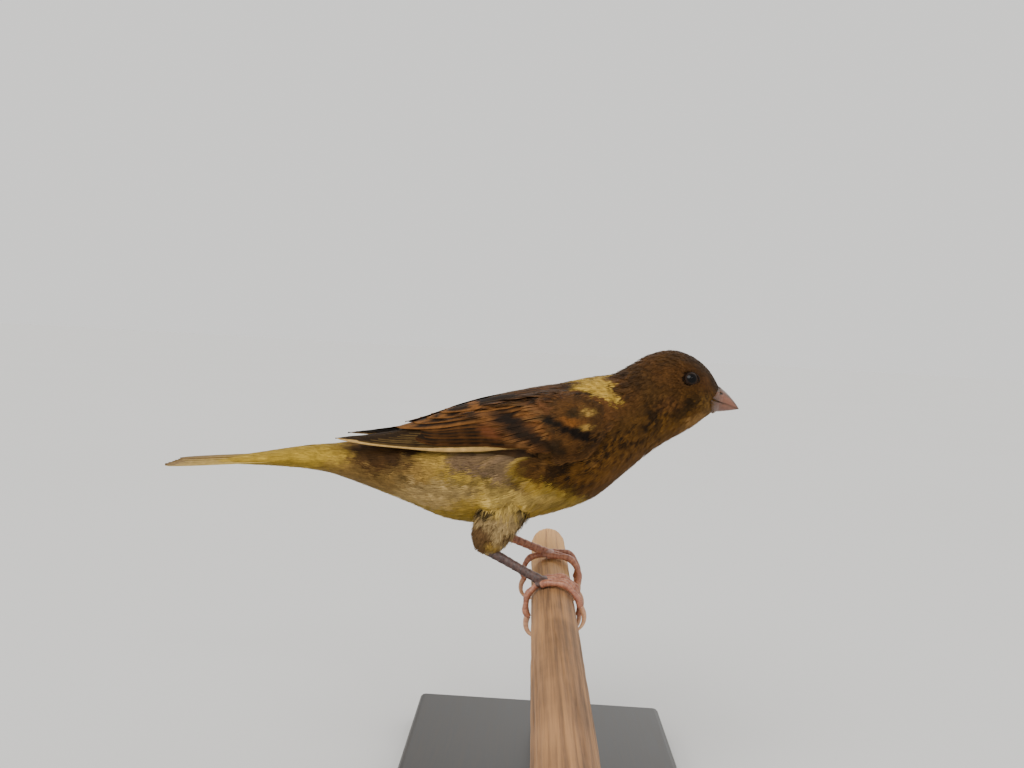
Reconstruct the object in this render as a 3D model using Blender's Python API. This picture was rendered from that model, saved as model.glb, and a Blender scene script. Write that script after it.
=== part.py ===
"""A canary that grips a short length of dowel on a plain display stand, at life size.

Lengths are worked out in millimetres and written to the meshes in metres. The bird faces +X, its left side is
+Y and +Z is up. The origin is on the underside of the stand's base, straight below the middle of the two feet.
"""

import math
from dataclasses import dataclass

import bmesh
import bpy
import numpy as np
from mathutils import Matrix, Vector

MM = 0.001
GAP = 0.3

# The body as a row of sections from the tail coverts to the bill. Each section is a flat oval that runs from a
# point of the upper outline to a point of the lower one: top x, top z, bottom x, bottom z, half width.
BODY_ROWS = (
    (-80.0, 83.5, -80.0, 82.0, 4.8),
    (-70.0, 85.6, -70.0, 82.1, 6.0),
    (-62.0, 87.2, -62.0, 81.9, 6.8),
    (-54.0, 88.3, -54.5, 81.0, 8.0),
    (-46.0, 90.2, -46.0, 78.5, 10.2),
    (-37.0, 93.0, -36.0, 75.2, 12.6),
    (-28.0, 96.5, -26.0, 71.8, 14.4),
    (-18.0, 100.6, -14.0, 71.3, 15.6),
    (-9.0, 103.7, -2.0, 74.4, 16.0),
    (-1.0, 106.0, 8.0, 78.6, 15.8),
    (6.0, 107.9, 15.0, 84.6, 14.4),
    (11.0, 108.9, 20.0, 89.3, 12.2),
    (15.5, 111.3, 24.5, 92.8, 10.3),
    (20.0, 114.2, 28.2, 95.2, 9.2),
    (25.5, 115.7, 31.3, 97.2, 8.7),
    (30.5, 114.5, 33.3, 98.9, 7.6),
    (34.5, 111.6, 35.0, 100.3, 5.6),
    (37.5, 107.4, 36.7, 101.4, 3.2),
)
TAIL_CUT = 3.3
NECK_CUT = 10.7
HEAD_CUT = 12.3
BILL_CUT = len(BODY_ROWS) - 1.0
RING_SIDES = 28

EYE_ROW = 14.45
EYE_ANGLE = 73.0
EYE_RADIUS = 2.1
EYE_SUNK = 1.7
LID_THICKNESS = 0.35
LID_OPENING = 1.7

BILL_TIP = (42.6, 102.7)
CULMEN_BULGE = 0.35
GONYS_BULGE = 0.1
MOUTH_BASE = (36.95, 103.9)
BILL_HALF_WIDTH = 2.8
NOSTRIL = (38.4, 1.75, 105.6)
NOSTRIL_RADIUS = 0.4

VANE_THICKNESS = 0.55
VANE_TILT = 0.26
VANE_ARCH = 0.12
WING_CLEARANCE = 0.4
WING_LIFT = 3.0
WING_LIFT_ROWS = (3.0, 6.4)
# The folded arm's two edges: body row, angle of the upper edge and angle of the lower edge, in degrees.
ARM_EDGES = (
    (5.4, 36.0, 64.0),
    (6.5, 35.0, 73.0),
    (7.5, 36.0, 83.0),
    (8.5, 38.0, 94.0),
    (9.4, 42.0, 95.0),
    (10.1, 52.0, 84.0),
)
ARM_THICKNESS = 2.3
ARM_EDGE_THICKNESS = 0.5

TAIL_FEATHER_PAIRS = 6
TAIL_ROOT_X = -60.0
TAIL_TIP_X = -95.5
TAIL_ROOT_Z = 84.6
TAIL_TIP_Z = 81.1
TAIL_NOTCH = 2.6
TAIL_FEATHER_HALF = 2.8
TAIL_FAN_ROOT = 2.2
TAIL_FAN_TIP = 3.4

PERCH_RADIUS = 5.0
PERCH_HEIGHT = 55.0
PERCH_FAR_END = 57.0
PERCH_NEAR_END = -104.0

# The thigh from inside the belly to the ankle: distance forward of the ankle, distance above it, radius.
THIGH_PROFILE = (
    (7.6, 14.5, 4.6),
    (5.9, 10.8, 5.6),
    (4.0, 7.0, 5.3),
    (2.5, 3.6, 4.6),
    (1.2, 0.9, 3.4),
    (0.3, -1.1, 1.7),
)
THIGH_INWARD = 0.035
THIGH_FLATNESS = 0.78
TARSUS_RADIUS = 0.95
TARSUS_SCUTES = 7
HUB_SIZE = (1.7, 2.5, 1.05)
TOE_RADIUS = 0.74
CLAW_RADIUS = 0.6
CLAW_LENGTH = 6.0
CLAW_BOW_REAR = 2.3
CLAW_BOW_FRONT = 1.1

BASE_LENGTH = 132.0
BASE_WIDTH = 72.0
BASE_HEIGHT = 8.0
BASE_MIDDLE_Y = -16.0
BASE_BEVEL = 1.5
ROD_RADIUS = 2.0
ROD_PLACES = (-62.0, 30.0)


@dataclass
class Leg:
    """One leg: where its ankle is, where its foot stands on the perch, and how far its toes arch off the wood."""

    side: int
    name: str
    ankle: tuple
    foot_y: float
    foot_angle: float
    looseness: float


@dataclass
class Toe:
    """One toe: its number, root and tip across the foot, length, and which way it wraps round the perch."""

    number: int
    root_y: float
    tip_y: float
    length: float
    wrap: int


@dataclass
class Tier:
    """One tier of wing feathers, whose pairs of values hold for its lowest feather and its highest one."""

    count: int
    root_row: float
    root_angles: tuple
    tip_rows: tuple
    tip_angles: tuple
    half_widths: tuple
    level: float
    step: float
    segments: int


PRIMARIES = Tier(7, 7.6, (80.0, 68.0), (3.0, 4.9), (51.0, 42.0), (2.2, 2.6), 0.26, 0.08, 5)
SECONDARIES = Tier(6, 7.7, (74.0, 52.0), (5.1, 5.35), (56.0, 34.0), (2.6, 2.6), 0.5, 0.08, 5)
TERTIALS = Tier(3, 7.8, (50.0, 36.0), (5.0, 6.1), (34.0, 29.0), (3.6, 3.6), 0.9, 0.13, 5)
GREATER_COVERTS = Tier(7, 8.6, (85.0, 42.0), (6.8, 7.0), (73.0, 39.0), (2.6, 2.6), 1.1, 0.06, 4)
MEDIAN_COVERTS = Tier(5, 9.3, (82.0, 48.0), (7.9, 8.1), (80.0, 45.0), (2.7, 2.7), 1.55, 0.06, 4)
WING_TIERS = (PRIMARIES, SECONDARIES, TERTIALS, GREATER_COVERTS, MEDIAN_COVERTS)

LEGS = (
    Leg(-1, "right", (-17.0, -12.0, 67.5), -13.0, -27.0, 0.3),
    Leg(1, "left", (-14.8, 12.0, 66.4), 13.0, -8.0, 1.5),
)
TOES = (
    Toe(1, 0.0, 0.3, 8.5, -1),
    Toe(2, -1.8, -4.6, 9.5, 1),
    Toe(3, 0.0, 0.4, 13.0, 1),
    Toe(4, 1.8, 5.0, 10.0, 1),
)

MATERIALS = {
    "plumage_brown": ("4A3418", 0.85),
    "plumage_dark": ("2E2213", 0.8),
    "plumage_yellow": ("A8904A", 0.85),
    "bill_horn": ("B98A78", 0.45),
    "eye_dark": ("0B0907", 0.1),
    "leg_scale": ("8A5A48", 0.55),
    "claw_horn": ("C49A7E", 0.4),
    "perch_wood": ("8F6E4A", 0.75),
    "stand_black": ("24211E", 0.5),
    "stand_steel": ("9A9A98", 0.35),
}


def clear_scene():
    for obj in list(bpy.data.objects):
        bpy.data.objects.remove(obj, do_unlink=True)


def linear(channel):
    return channel / 12.92 if channel <= 0.04045 else ((channel + 0.055) / 1.055) ** 2.4


def material(name):
    """The named material as a Principled BSDF, made on first use."""
    if name in bpy.data.materials:
        return bpy.data.materials[name]
    hex_code, roughness = MATERIALS[name]
    made = bpy.data.materials.new(name)
    made.use_nodes = True
    shader = made.node_tree.nodes["Principled BSDF"]
    rgb = [linear(int(hex_code[i : i + 2], 16) / 255) for i in (0, 2, 4)]
    shader.inputs["Base Color"].default_value = (*rgb, 1.0)
    shader.inputs["Roughness"].default_value = roughness
    shader.inputs["Metallic"].default_value = 1.0 if name == "stand_steel" else 0.0
    return made


def mesh_object(name, points, faces):
    """A closed mesh from points in millimetres, with its faces turned outwards."""
    mesh = bpy.data.meshes.new(name)
    mesh.from_pydata([tuple(float(c) * MM for c in p) for p in points], [], faces)
    bm = bmesh.new()
    bm.from_mesh(mesh)
    bmesh.ops.recalc_face_normals(bm, faces=bm.faces)
    if bm.calc_volume(signed=True) < 0:
        bmesh.ops.reverse_faces(bm, faces=bm.faces)
    bm.to_mesh(mesh)
    bm.free()
    obj = bpy.data.objects.new(name, mesh)
    bpy.context.scene.collection.objects.link(obj)
    return obj


def baked(obj):
    """Replaces an object's mesh by what its modifiers make of it."""
    graph = bpy.context.evaluated_depsgraph_get()
    mesh = bpy.data.meshes.new_from_object(obj.evaluated_get(graph))
    obj.modifiers.clear()
    old = obj.data
    obj.data = mesh
    bpy.data.meshes.remove(old)
    return obj


def keep_largest(obj):
    """Keeps only the closed surface that holds the most volume."""
    bm = bmesh.new()
    bm.from_mesh(obj.data)
    left = set(bm.faces)
    islands = []
    while left:
        stack = [left.pop()]
        island = []
        while stack:
            face = stack.pop()
            island.append(face)
            for edge in face.edges:
                for other in edge.link_faces:
                    if other in left:
                        left.discard(other)
                        stack.append(other)
        islands.append(island)
    volumes = []
    for island in islands:
        total = 0.0
        for face in island:
            corners = [loop.vert.co for loop in face.loops]
            for i in range(1, len(corners) - 1):
                total += corners[0].dot(corners[i].cross(corners[i + 1])) / 6
        volumes.append(total)
    largest = max(range(len(islands)), key=lambda i: abs(volumes[i]))
    drop = [face for i, island in enumerate(islands) if i != largest for face in island]
    bmesh.ops.delete(bm, geom=drop, context="FACES")
    bm.to_mesh(obj.data)
    bm.free()
    return obj


def fused(first, others, solver="EXACT"):
    """Joins closed meshes that pass through one another into one closed body."""
    group = bpy.data.collections.new("pieces")
    bpy.context.scene.collection.children.link(group)
    for obj in others:
        bpy.context.scene.collection.objects.unlink(obj)
        group.objects.link(obj)
    cut = first.modifiers.new("join", "BOOLEAN")
    cut.operation = "UNION"
    cut.operand_type = "COLLECTION"
    cut.collection = group
    cut.solver = solver
    baked(first)
    for obj in others:
        bpy.data.objects.remove(obj, do_unlink=True)
    bpy.data.collections.remove(group)
    return keep_largest(first)


def trimmed(obj, cutters):
    """Cuts an object by others, which are then removed."""
    for cutter in cutters:
        cut = obj.modifiers.new("trim", "BOOLEAN")
        cut.operation = "DIFFERENCE"
        cut.solver = "EXACT"
        cut.object = cutter
        baked(obj)
    for cutter in cutters:
        bpy.data.objects.remove(cutter, do_unlink=True)
    return keep_largest(obj)


def finish(obj, name, material_name):
    """Names a finished sub-part, gives it its material and shades its round faces smooth."""
    obj.name = name
    obj.data.name = name
    obj.data.materials.clear()
    obj.data.materials.append(material(material_name))
    obj.data.shade_smooth()
    obj.data.set_sharp_from_angle(angle=math.radians(40))
    return obj


def catmull(rows, at):
    """The row at a fractional index, on a smooth curve through all rows."""
    rows = np.asarray(rows, float)
    last = len(rows) - 1
    at = min(max(at, 0.0), float(last))
    i = min(int(at), last - 1)
    t = at - i
    before = rows[i - 1] if i else 2 * rows[0] - rows[1]
    after = rows[i + 2] if i + 2 <= last else 2 * rows[last] - rows[last - 1]
    a, b = rows[i], rows[i + 1]
    return 0.5 * (
        2 * a
        + (b - before) * t
        + (2 * before - 5 * a + 4 * b - after) * t**2
        + (3 * a - before - 3 * b + after) * t**3
    )


def body_point(row, angle, lift=0.0, forward=0.0):
    """A point of the body's surface.

    Args:
        row: Fractional index into BODY_ROWS, from the tail to the bill.
        angle: Radians round the section, 0 at the back and pi at the belly.
        lift: Distance outwards from the surface.
        forward: Distance along the body, at right angles to the section.

    Returns:
        The point in millimetres.
    """
    top_x, top_z, low_x, low_z, half = catmull(BODY_ROWS, row)
    top = np.array((top_x, 0.0, top_z))
    low = np.array((low_x, 0.0, low_z))
    middle = (top + low) / 2
    tall = np.linalg.norm(top - low) / 2
    up = (top - low) / (2 * tall)
    ahead = np.array((up[2], 0.0, -up[0]))
    side = np.array((0.0, 1.0, 0.0))
    normal = up * math.cos(angle) / tall + side * math.sin(angle) / half
    normal /= np.linalg.norm(normal)
    return middle + up * tall * math.cos(angle) + side * half * math.sin(angle) + normal * lift + ahead * forward


def loft(name, rings):
    """A closed surface through rings of equal point counts, capped flat at both ends."""
    count = len(rings[0])
    points = [p for ring in rings for p in ring]
    faces = []
    for i in range(len(rings) - 1):
        for j in range(count):
            k = (j + 1) % count
            faces.append((i * count + j, i * count + k, (i + 1) * count + k, (i + 1) * count + j))
    faces.append(tuple(reversed(range(count))))
    faces.append(tuple((len(rings) - 1) * count + j for j in range(count)))
    return mesh_object(name, points, faces)


def body_length(name, first, last, lift=0.0):
    """The body between two cuts, each set back by half the gap that parts neighbours."""
    steps = max(2, round((last - first) * 2.6))
    rings = []
    for i in range(steps + 1):
        row = first + (last - first) * i / steps
        forward = GAP / 2 * ((i == 0) - (i == steps))
        angles = [2 * math.pi * j / RING_SIDES for j in range(RING_SIDES)]
        rings.append([body_point(row, a, lift, forward) for a in angles])
    return loft(name, rings)


def frames_along(path):
    """Unit vectors along a path, across it and up from it, turned as little as the path allows."""
    path = np.asarray(path, float)
    ahead = np.gradient(path, axis=0)
    ahead /= np.linalg.norm(ahead, axis=1)[:, None]
    across = np.cross(ahead[0], (0.0, 0.0, 1.0))
    if np.linalg.norm(across) < 0.2:
        across = np.cross(ahead[0], (0.0, 1.0, 0.0))
    frames = []
    for direction in ahead:
        across = across - direction * across.dot(direction)
        across /= np.linalg.norm(across)
        frames.append((direction, across, np.cross(across, direction)))
    return frames


def tube(name, path, radii, sides=8, flatten=1.0):
    """A closed round tube along a path, with a radius for each point and flat ends."""
    rings = []
    for point, radius, (_, across, up) in zip(np.asarray(path, float), radii, frames_along(path)):
        ring = []
        for j in range(sides):
            a = 2 * math.pi * j / sides
            ring.append(point + across * math.cos(a) * radius * flatten + up * math.sin(a) * radius)
        rings.append(ring)
    return loft(name, rings)


def ball(name, centre, radii, rings=8, sides=12, axis=(0.0, 0.0, 1.0)):
    """A closed oval ball whose third radius lies along the axis."""
    turn = Vector((0, 0, 1)).rotation_difference(Vector(axis)).to_matrix()
    stack = []
    for i in range(1, rings):
        a = math.pi * i / rings
        ring = []
        for j in range(sides):
            b = 2 * math.pi * j / sides
            local = (
                radii[0] * math.sin(a) * math.cos(b),
                radii[1] * math.sin(a) * math.sin(b),
                -radii[2] * math.cos(a),
            )
            ring.append(np.array(centre) + np.array(turn @ Vector(local)))
        stack.append(ring)
    points = [p for ring in stack for p in ring]
    ends = [np.array(centre) + np.array(turn @ Vector((0, 0, s * radii[2]))) for s in (-1, 1)]
    faces = []
    for i in range(len(stack) - 1):
        for j in range(sides):
            k = (j + 1) % sides
            faces.append((i * sides + j, i * sides + k, (i + 1) * sides + k, (i + 1) * sides + j))
    low = len(points)
    for j in range(sides):
        k = (j + 1) % sides
        faces.append((low, k, j))
        faces.append((low + 1, (len(stack) - 1) * sides + j, (len(stack) - 1) * sides + k))
    return mesh_object(name, points + ends, faces)


def vane(name, outer, inner):
    """A closed vane between two grids of points, split into the same triangles on both faces."""
    rows, cols = len(outer), len(outer[0])
    points = [p for row in outer for p in row] + [p for row in inner for p in row]
    under = rows * cols
    faces = []
    for i in range(rows - 1):
        for j in range(cols - 1):
            a = i * cols + j
            for tri in ((a, a + 1, a + cols + 1), (a, a + cols + 1, a + cols)):
                faces.append(tri)
                faces.append(tuple(under + v for v in reversed(tri)))
    rim = [j for j in range(cols)]
    rim += [i * cols + cols - 1 for i in range(1, rows)]
    rim += [(rows - 1) * cols + j for j in range(cols - 2, -1, -1)]
    rim += [i * cols for i in range(rows - 2, 0, -1)]
    for a, b in zip(rim, rim[1:] + rim[:1]):
        faces.append((a, under + a, b))
        faces.append((b, under + a, under + b))
    return mesh_object(name, points, faces)


def between(pair, share):
    return pair[0] + (pair[1] - pair[0]) * share


def width_along(t):
    """The share of its full half width that a feather has at t, from 0 at its root to 1 at its tip."""
    return min(1.0, 0.5 + 2.2 * t) * (1.0 - max(0.0, t - 0.72) ** 2 * 7.5)


def wing_surface(side, row, angle, lift):
    """A point above the body's side, with the hand of the wing held clear of the rump."""
    low, high = WING_LIFT_ROWS
    rise = min(max((high - row) / (high - low), 0.0), 1.0)
    point = body_point(row, angle, WING_CLEARANCE + lift + WING_LIFT * rise * rise * (3 - 2 * rise))
    point[1] *= side
    return point


def wing_vane(side, root, tip, half, level, segments):
    """One wing feather, from a root to a tip given as body row and angle in degrees."""
    outer, inner = [], []
    for i in range(segments + 1):
        t = i / segments
        row = root[0] + (tip[0] - root[0]) * t
        angle = math.radians(root[1] + (tip[1] - root[1]) * t)
        centre = wing_surface(1, row, angle, 0.0)
        step = wing_surface(1, row, angle + 0.05, 0.0)
        per_mm = 0.05 / np.linalg.norm(step - centre)
        reach = half * width_along(t)
        upper, lower = [], []
        for across in (-1.0, 0.0, 1.0):
            a = angle + across * reach * per_mm
            height = level + VANE_TILT * across + VANE_ARCH * (across == 0.0)
            lower.append(wing_surface(side, row, a, height))
            upper.append(wing_surface(side, row, a, height + VANE_THICKNESS))
        outer.append(upper)
        inner.append(lower)
    return vane("vane", outer, inner)


def wing_core(side):
    """The arm of the wing under its lesser coverts, a pad that lies on the torso's side."""
    outer, inner = [], []
    steps, cols = 8, 6
    for i in range(steps + 1):
        t = i / steps
        rows, highs, lows = zip(*ARM_EDGES)
        row = rows[-1] + (rows[0] - rows[-1]) * t
        high = np.interp(row, rows, highs)
        low = np.interp(row, rows, lows)
        upper, lower = [], []
        for j in range(cols + 1):
            across = 2.0 * j / cols - 1.0
            angle = math.radians((high + low) / 2 + (low - high) / 2 * across)
            round_off = 1.0 - across * across
            thick = ARM_EDGE_THICKNESS + (ARM_THICKNESS - 0.9 * t) * round_off * min(1.0, 0.25 + 3.0 * t)
            lower.append(wing_surface(side, row, angle, 0.0))
            upper.append(wing_surface(side, row, angle, thick))
        outer.append(upper)
        inner.append(lower)
    return vane("core", outer, inner)


def wing_feathers(side):
    """Every feather of one folded wing, tier by tier from the lowest primary to the median coverts."""
    made = []
    for tier in WING_TIERS:
        for i in range(tier.count):
            share = i / (tier.count - 1)
            root = (tier.root_row, between(tier.root_angles, share))
            tip = (between(tier.tip_rows, share), between(tier.tip_angles, share))
            half = between(tier.half_widths, share)
            made.append(wing_vane(side, root, tip, half, tier.level + tier.step * i, tier.segments))
    return made


def make_wing(side, name):
    core = wing_core(side)
    fused(core, wing_feathers(side), "MANIFOLD")
    finish(core, name, "plumage_dark")


def tail_vane(side, index):
    """One tail feather: the middle pair lies on top and each further pair a little lower and wider."""
    share = index / (TAIL_FEATHER_PAIRS - 1)
    root_y = 0.45 + TAIL_FAN_ROOT * share
    tip_y = 0.6 + TAIL_FAN_TIP * share
    tip_x = TAIL_TIP_X + TAIL_NOTCH * (1 - share) + 2.5 * max(0.0, share - 0.8)
    drop = 0.17 * index
    outer, inner = [], []
    steps = 5
    for i in range(steps + 1):
        t = i / steps
        x = TAIL_ROOT_X + (tip_x - TAIL_ROOT_X) * t
        z = TAIL_ROOT_Z + (TAIL_TIP_Z - TAIL_ROOT_Z) * (x - TAIL_ROOT_X) / (TAIL_TIP_X - TAIL_ROOT_X)
        y = root_y + (tip_y - root_y) * min(1.0, 1.35 * t)
        reach = TAIL_FEATHER_HALF * width_along(t)
        upper, lower = [], []
        for across in (-1.0, 0.0, 1.0):
            height = z + 0.8 - drop - 0.25 * across + (0.1 if across == 0.0 else 0.0) - 0.05 * side
            place_y = side * (y + across * reach)
            lower.append(np.array((x, place_y, height - VANE_THICKNESS)))
            upper.append(np.array((x, place_y, height)))
        outer.append(upper)
        inner.append(lower)
    return vane("rectrix", outer, inner)


def make_tail():
    core = body_length("tail", 0.0, TAIL_CUT)
    feathers = [tail_vane(side, i) for i in range(TAIL_FEATHER_PAIRS) for side in (-1, 1)]
    fused(core, feathers, "MANIFOLD")
    finish(core, "tail", "plumage_yellow")


def eye_place(side):
    """An eye's centre and the way it looks."""
    angle = math.radians(EYE_ANGLE)
    on = body_point(EYE_ROW, angle)
    out = body_point(EYE_ROW, angle, 1.0) - on
    out = out + np.array((0.12, 0.0, 0.0))
    out /= np.linalg.norm(out)
    centre = on - out * EYE_SUNK
    centre[1] *= side
    out[1] *= side
    return centre, out


def make_head():
    """The head with its two eye sockets, each ringed by lids that stand up from the face."""
    head = body_length("head", HEAD_CUT, BILL_CUT)
    lids, sockets = [], []
    for side in (-1, 1):
        centre, out = eye_place(side)
        shell = EYE_RADIUS + GAP + LID_THICKNESS
        lids.append(ball("lid", centre, (shell, shell, shell), 10, 16, out))
        hollow = EYE_RADIUS + GAP
        sockets.append(ball("socket", centre, (hollow, hollow, hollow), 10, 16, out))
        path = [centre + out * 0.4, centre + out * 6.0]
        sockets.append(tube("opening", path, (LID_OPENING, LID_OPENING + 0.6), 16))
    fused(head, lids)
    trimmed(head, sockets)
    finish(head, "head", "plumage_brown")
    for side, name in ((1, "eye_left"), (-1, "eye_right")):
        centre, out = eye_place(side)
        eye = ball(name, centre, (EYE_RADIUS, EYE_RADIUS, EYE_RADIUS), 10, 14, out)
        finish(eye, name, "eye_dark")


def bill_half(name, upper):
    """One mandible: half ovals from the face to the tip, flat where the two meet."""
    top_x, top_z, low_x, low_z, _ = BODY_ROWS[-1]
    edge = np.array((top_x, top_z) if upper else (low_x, low_z))
    mouth = np.array(MOUTH_BASE)
    tip = np.array(BILL_TIP)
    bulge = CULMEN_BULGE if upper else GONYS_BULGE
    along = tip - edge
    out = np.array((-along[1], along[0])) / np.linalg.norm(along)
    if not upper:
        out = -out
    part = GAP / 2 if upper else -GAP / 2
    rings = []
    steps, sides = 8, 12
    for i in range(steps + 1):
        t = i / steps * 0.96
        ridge = edge + along * t + out * bulge * 4 * t * (1 - t)
        meet = mouth + (tip - mouth) * t + np.array((0.0, part))
        half = BILL_HALF_WIDTH * (1 - t) ** 0.72 * (1.0 if upper else 0.92) + 0.12
        ring = []
        for j in range(sides + 1):
            a = math.pi * j / sides
            rise = math.sin(a) ** 0.85
            place = meet + (ridge - meet) * rise
            ring.append((place[0] + GAP, half * math.cos(a), place[1]))
        rings.append(ring)
    return loft(name, rings)


def make_bill():
    upper = bill_half("bill_upper", True)
    nostrils = []
    for side in (-1, 1):
        x, y, z = NOSTRIL
        sizes = (NOSTRIL_RADIUS * 1.5, NOSTRIL_RADIUS, NOSTRIL_RADIUS)
        nostrils.append(ball("nostril", (x, side * y, z), sizes, 6, 8))
    finish(trimmed(upper, nostrils), "bill_upper", "bill_horn")
    finish(bill_half("bill_lower", False), "bill_lower", "bill_horn")


def thigh_shape(leg, name, grow=0.0):
    """The feathered thigh from inside the belly down to the ankle."""
    x, y, z = leg.ankle
    knots = [(x + f, y - leg.side * THIGH_INWARD * max(u, 0.0) ** 1.9, z + u, r) for f, u, r in THIGH_PROFILE]
    fine = [catmull(knots, i / 2) for i in range(2 * len(knots) - 1)]
    path = [row[:3] for row in fine]
    radii = [row[3] + grow for row in fine]
    if grow:
        path[-1] = path[-1] + np.array((0.0, 0.0, -grow))
    return tube(name, path, radii, 12, THIGH_FLATNESS)


def foot_centre(leg, lift):
    """A point over the perch at the foot's angle, and the direction straight out from the perch there."""
    a = math.radians(leg.foot_angle)
    out = np.array((math.sin(a), 0.0, math.cos(a)))
    return np.array((0.0, leg.foot_y, PERCH_HEIGHT)) + out * (PERCH_RADIUS + lift), out


def tarsus_pieces(leg, grow=0.0):
    """The scaled shank from the ankle to the foot, and the pad of the foot itself."""
    foot, out = foot_centre(leg, GAP + HUB_SIZE[2])
    ankle = np.array(leg.ankle)
    start = ankle + (ankle - foot) * 0.02
    path, radii = [], []
    for i in range(TARSUS_SCUTES):
        for part, swell in ((0.0, 1.12), (0.8, 0.96)):
            t = (i + part) / TARSUS_SCUTES
            path.append(start + (foot - start) * t)
            taper = 1.25 - 0.9 * t + 0.75 * t * t
            radii.append(TARSUS_RADIUS * swell * taper + grow)
    path.append(foot)
    radii.append(TARSUS_RADIUS * 1.1 + grow)
    shank = tube("shank", path, radii, 10)
    sizes = tuple(size + grow for size in HUB_SIZE)
    hub = ball("hub", foot, sizes, 8, 12, out)
    return shank, hub


def make_leg(leg):
    thigh = trimmed(thigh_shape(leg, "thigh"), [body_length("cutter", 1.0, NECK_CUT, GAP)])
    finish(thigh, "thigh_" + leg.name, "plumage_brown")
    shank, hub = tarsus_pieces(leg)
    fused(shank, [hub])
    trimmed(shank, [thigh_shape(leg, "cutter", GAP)])
    finish(shank, "tarsus_" + leg.name, "leg_scale")
    for toe in TOES:
        make_toe(leg, toe)


def round_perch(leg, toe, along, lift, y):
    """A point beside the perch, reached by going round it from the foot by a distance along its bark."""
    angle = math.radians(leg.foot_angle) + toe.wrap * along / (PERCH_RADIUS + 1.0)
    out = np.array((math.sin(angle), 0.0, math.cos(angle)))
    return np.array((0.0, leg.foot_y + y, PERCH_HEIGHT)) + out * (PERCH_RADIUS + lift)


def make_toe(leg, toe):
    """One toe with its pads, wrapped round the perch, and the claw at its end."""
    path, radii = [], []
    steps = 10
    for i in range(steps + 1):
        t = i / steps
        along = 0.9 + toe.length * t
        pads = 0.1 * math.sin(2 * math.pi * (t * 2.5 + 0.1))
        radius = TOE_RADIUS * (1.08 - 0.14 * t) + pads * min(1.0, 4 * t)
        y = leg.side * (toe.root_y + (toe.tip_y - toe.root_y) * t ** 0.9)
        arch = leg.looseness * (1 - math.cos(2 * math.pi * min(t / 1.3, 1.0))) / 2
        path.append(round_perch(leg, toe, along, GAP + radius + arch, y))
        radii.append(radius)
    piece = tube("toe", path, radii, 8)
    shank, hub = tarsus_pieces(leg, GAP)
    trimmed(piece, [shank, hub])
    suffix = f"{leg.name}_{toe.number}"
    finish(piece, "toe_" + suffix, "leg_scale")
    path, radii = [], []
    steps = 6
    for i in range(steps + 1):
        t = i / steps
        along = 0.9 + toe.length + GAP + CLAW_LENGTH * t
        radius = CLAW_RADIUS * (1 - t) + 0.14
        bow = math.sin(math.pi * t) * (CLAW_BOW_REAR if toe.number == 1 else CLAW_BOW_FRONT)
        bow += leg.looseness * (1 - math.cos(2 * math.pi / 1.3)) / 2 * (1 - t)
        y = leg.side * (toe.tip_y + (toe.tip_y - toe.root_y) * CLAW_LENGTH * t / toe.length * 0.5)
        path.append(round_perch(leg, toe, along, GAP + radius + 0.14 + bow, y))
        radii.append(radius)
    finish(tube("claw", path, radii, 8), "claw_" + suffix, "claw_horn")


def make_perch():
    """The dowel, with its far end rounded over and its near end cut square."""
    middle = (0.0, PERCH_HEIGHT)
    stations = [(PERCH_NEAR_END, 0.9), (PERCH_NEAR_END + 0.5, 1.0)]
    stations += [(PERCH_NEAR_END + 27.0 * i, 1.0) for i in range(1, 6)]
    for i in range(7):
        a = math.radians(84.0 * i / 6)
        stations.append((PERCH_FAR_END - 6.0 + 6.0 * math.sin(a), math.cos(a) ** 0.8))
    path = [(middle[0], y, middle[1]) for y, _ in stations]
    radii = [PERCH_RADIUS * share for _, share in stations]
    finish(tube("perch", path, radii, 24), "perch", "perch_wood")


def make_stand():
    bm = bmesh.new()
    size = Matrix.Diagonal((BASE_WIDTH * MM, BASE_LENGTH * MM, BASE_HEIGHT * MM, 1.0))
    place = Matrix.Translation((0.0, BASE_MIDDLE_Y * MM, BASE_HEIGHT / 2 * MM))
    bmesh.ops.create_cube(bm, size=1.0, matrix=place @ size)
    edges = [e for e in bm.edges if max(v.co.z for v in e.verts) > BASE_HEIGHT / 2 * MM]
    bmesh.ops.bevel(bm, geom=edges, offset=BASE_BEVEL * MM, segments=3, profile=0.5, affect="EDGES")
    mesh = bpy.data.meshes.new("stand_base")
    bm.to_mesh(mesh)
    bm.free()
    base = bpy.data.objects.new("stand_base", mesh)
    bpy.context.scene.collection.objects.link(base)
    finish(base, "stand_base", "stand_black")
    for number, y in enumerate(ROD_PLACES, 1):
        low = BASE_HEIGHT + GAP
        high = PERCH_HEIGHT - PERCH_RADIUS - GAP
        rod = tube("rod", [(0.0, y, low), (0.0, y, high)], (ROD_RADIUS, ROD_RADIUS), 20)
        finish(rod, f"stand_rod_{number}", "stand_steel")


def main():
    clear_scene()
    finish(body_length("torso", TAIL_CUT, NECK_CUT), "torso", "plumage_brown")
    finish(body_length("neck", NECK_CUT, HEAD_CUT), "neck", "plumage_brown")
    make_head()
    make_bill()
    make_tail()
    make_wing(1, "wing_left")
    make_wing(-1, "wing_right")
    for leg in LEGS:
        make_leg(leg)
    make_perch()
    make_stand()


main()
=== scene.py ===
"""The looks of a canary that grips a short dowel on a plain stand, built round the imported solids.

Lengths are worked out in millimetres and become metres where a mesh is written. The bird faces +X, its left
side is +Y and +Z is up. A place on its body is a row, from the tail coverts to the bill, and an angle round that
row, 0 at the back, pi at the belly and positive on the left.
"""

import logging
import math
from collections.abc import Callable, Sequence
from dataclasses import dataclass, field
from enum import Enum
from functools import cache, cached_property

import bmesh
import bpy
import numpy as np
from mathutils import Matrix, Vector


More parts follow.
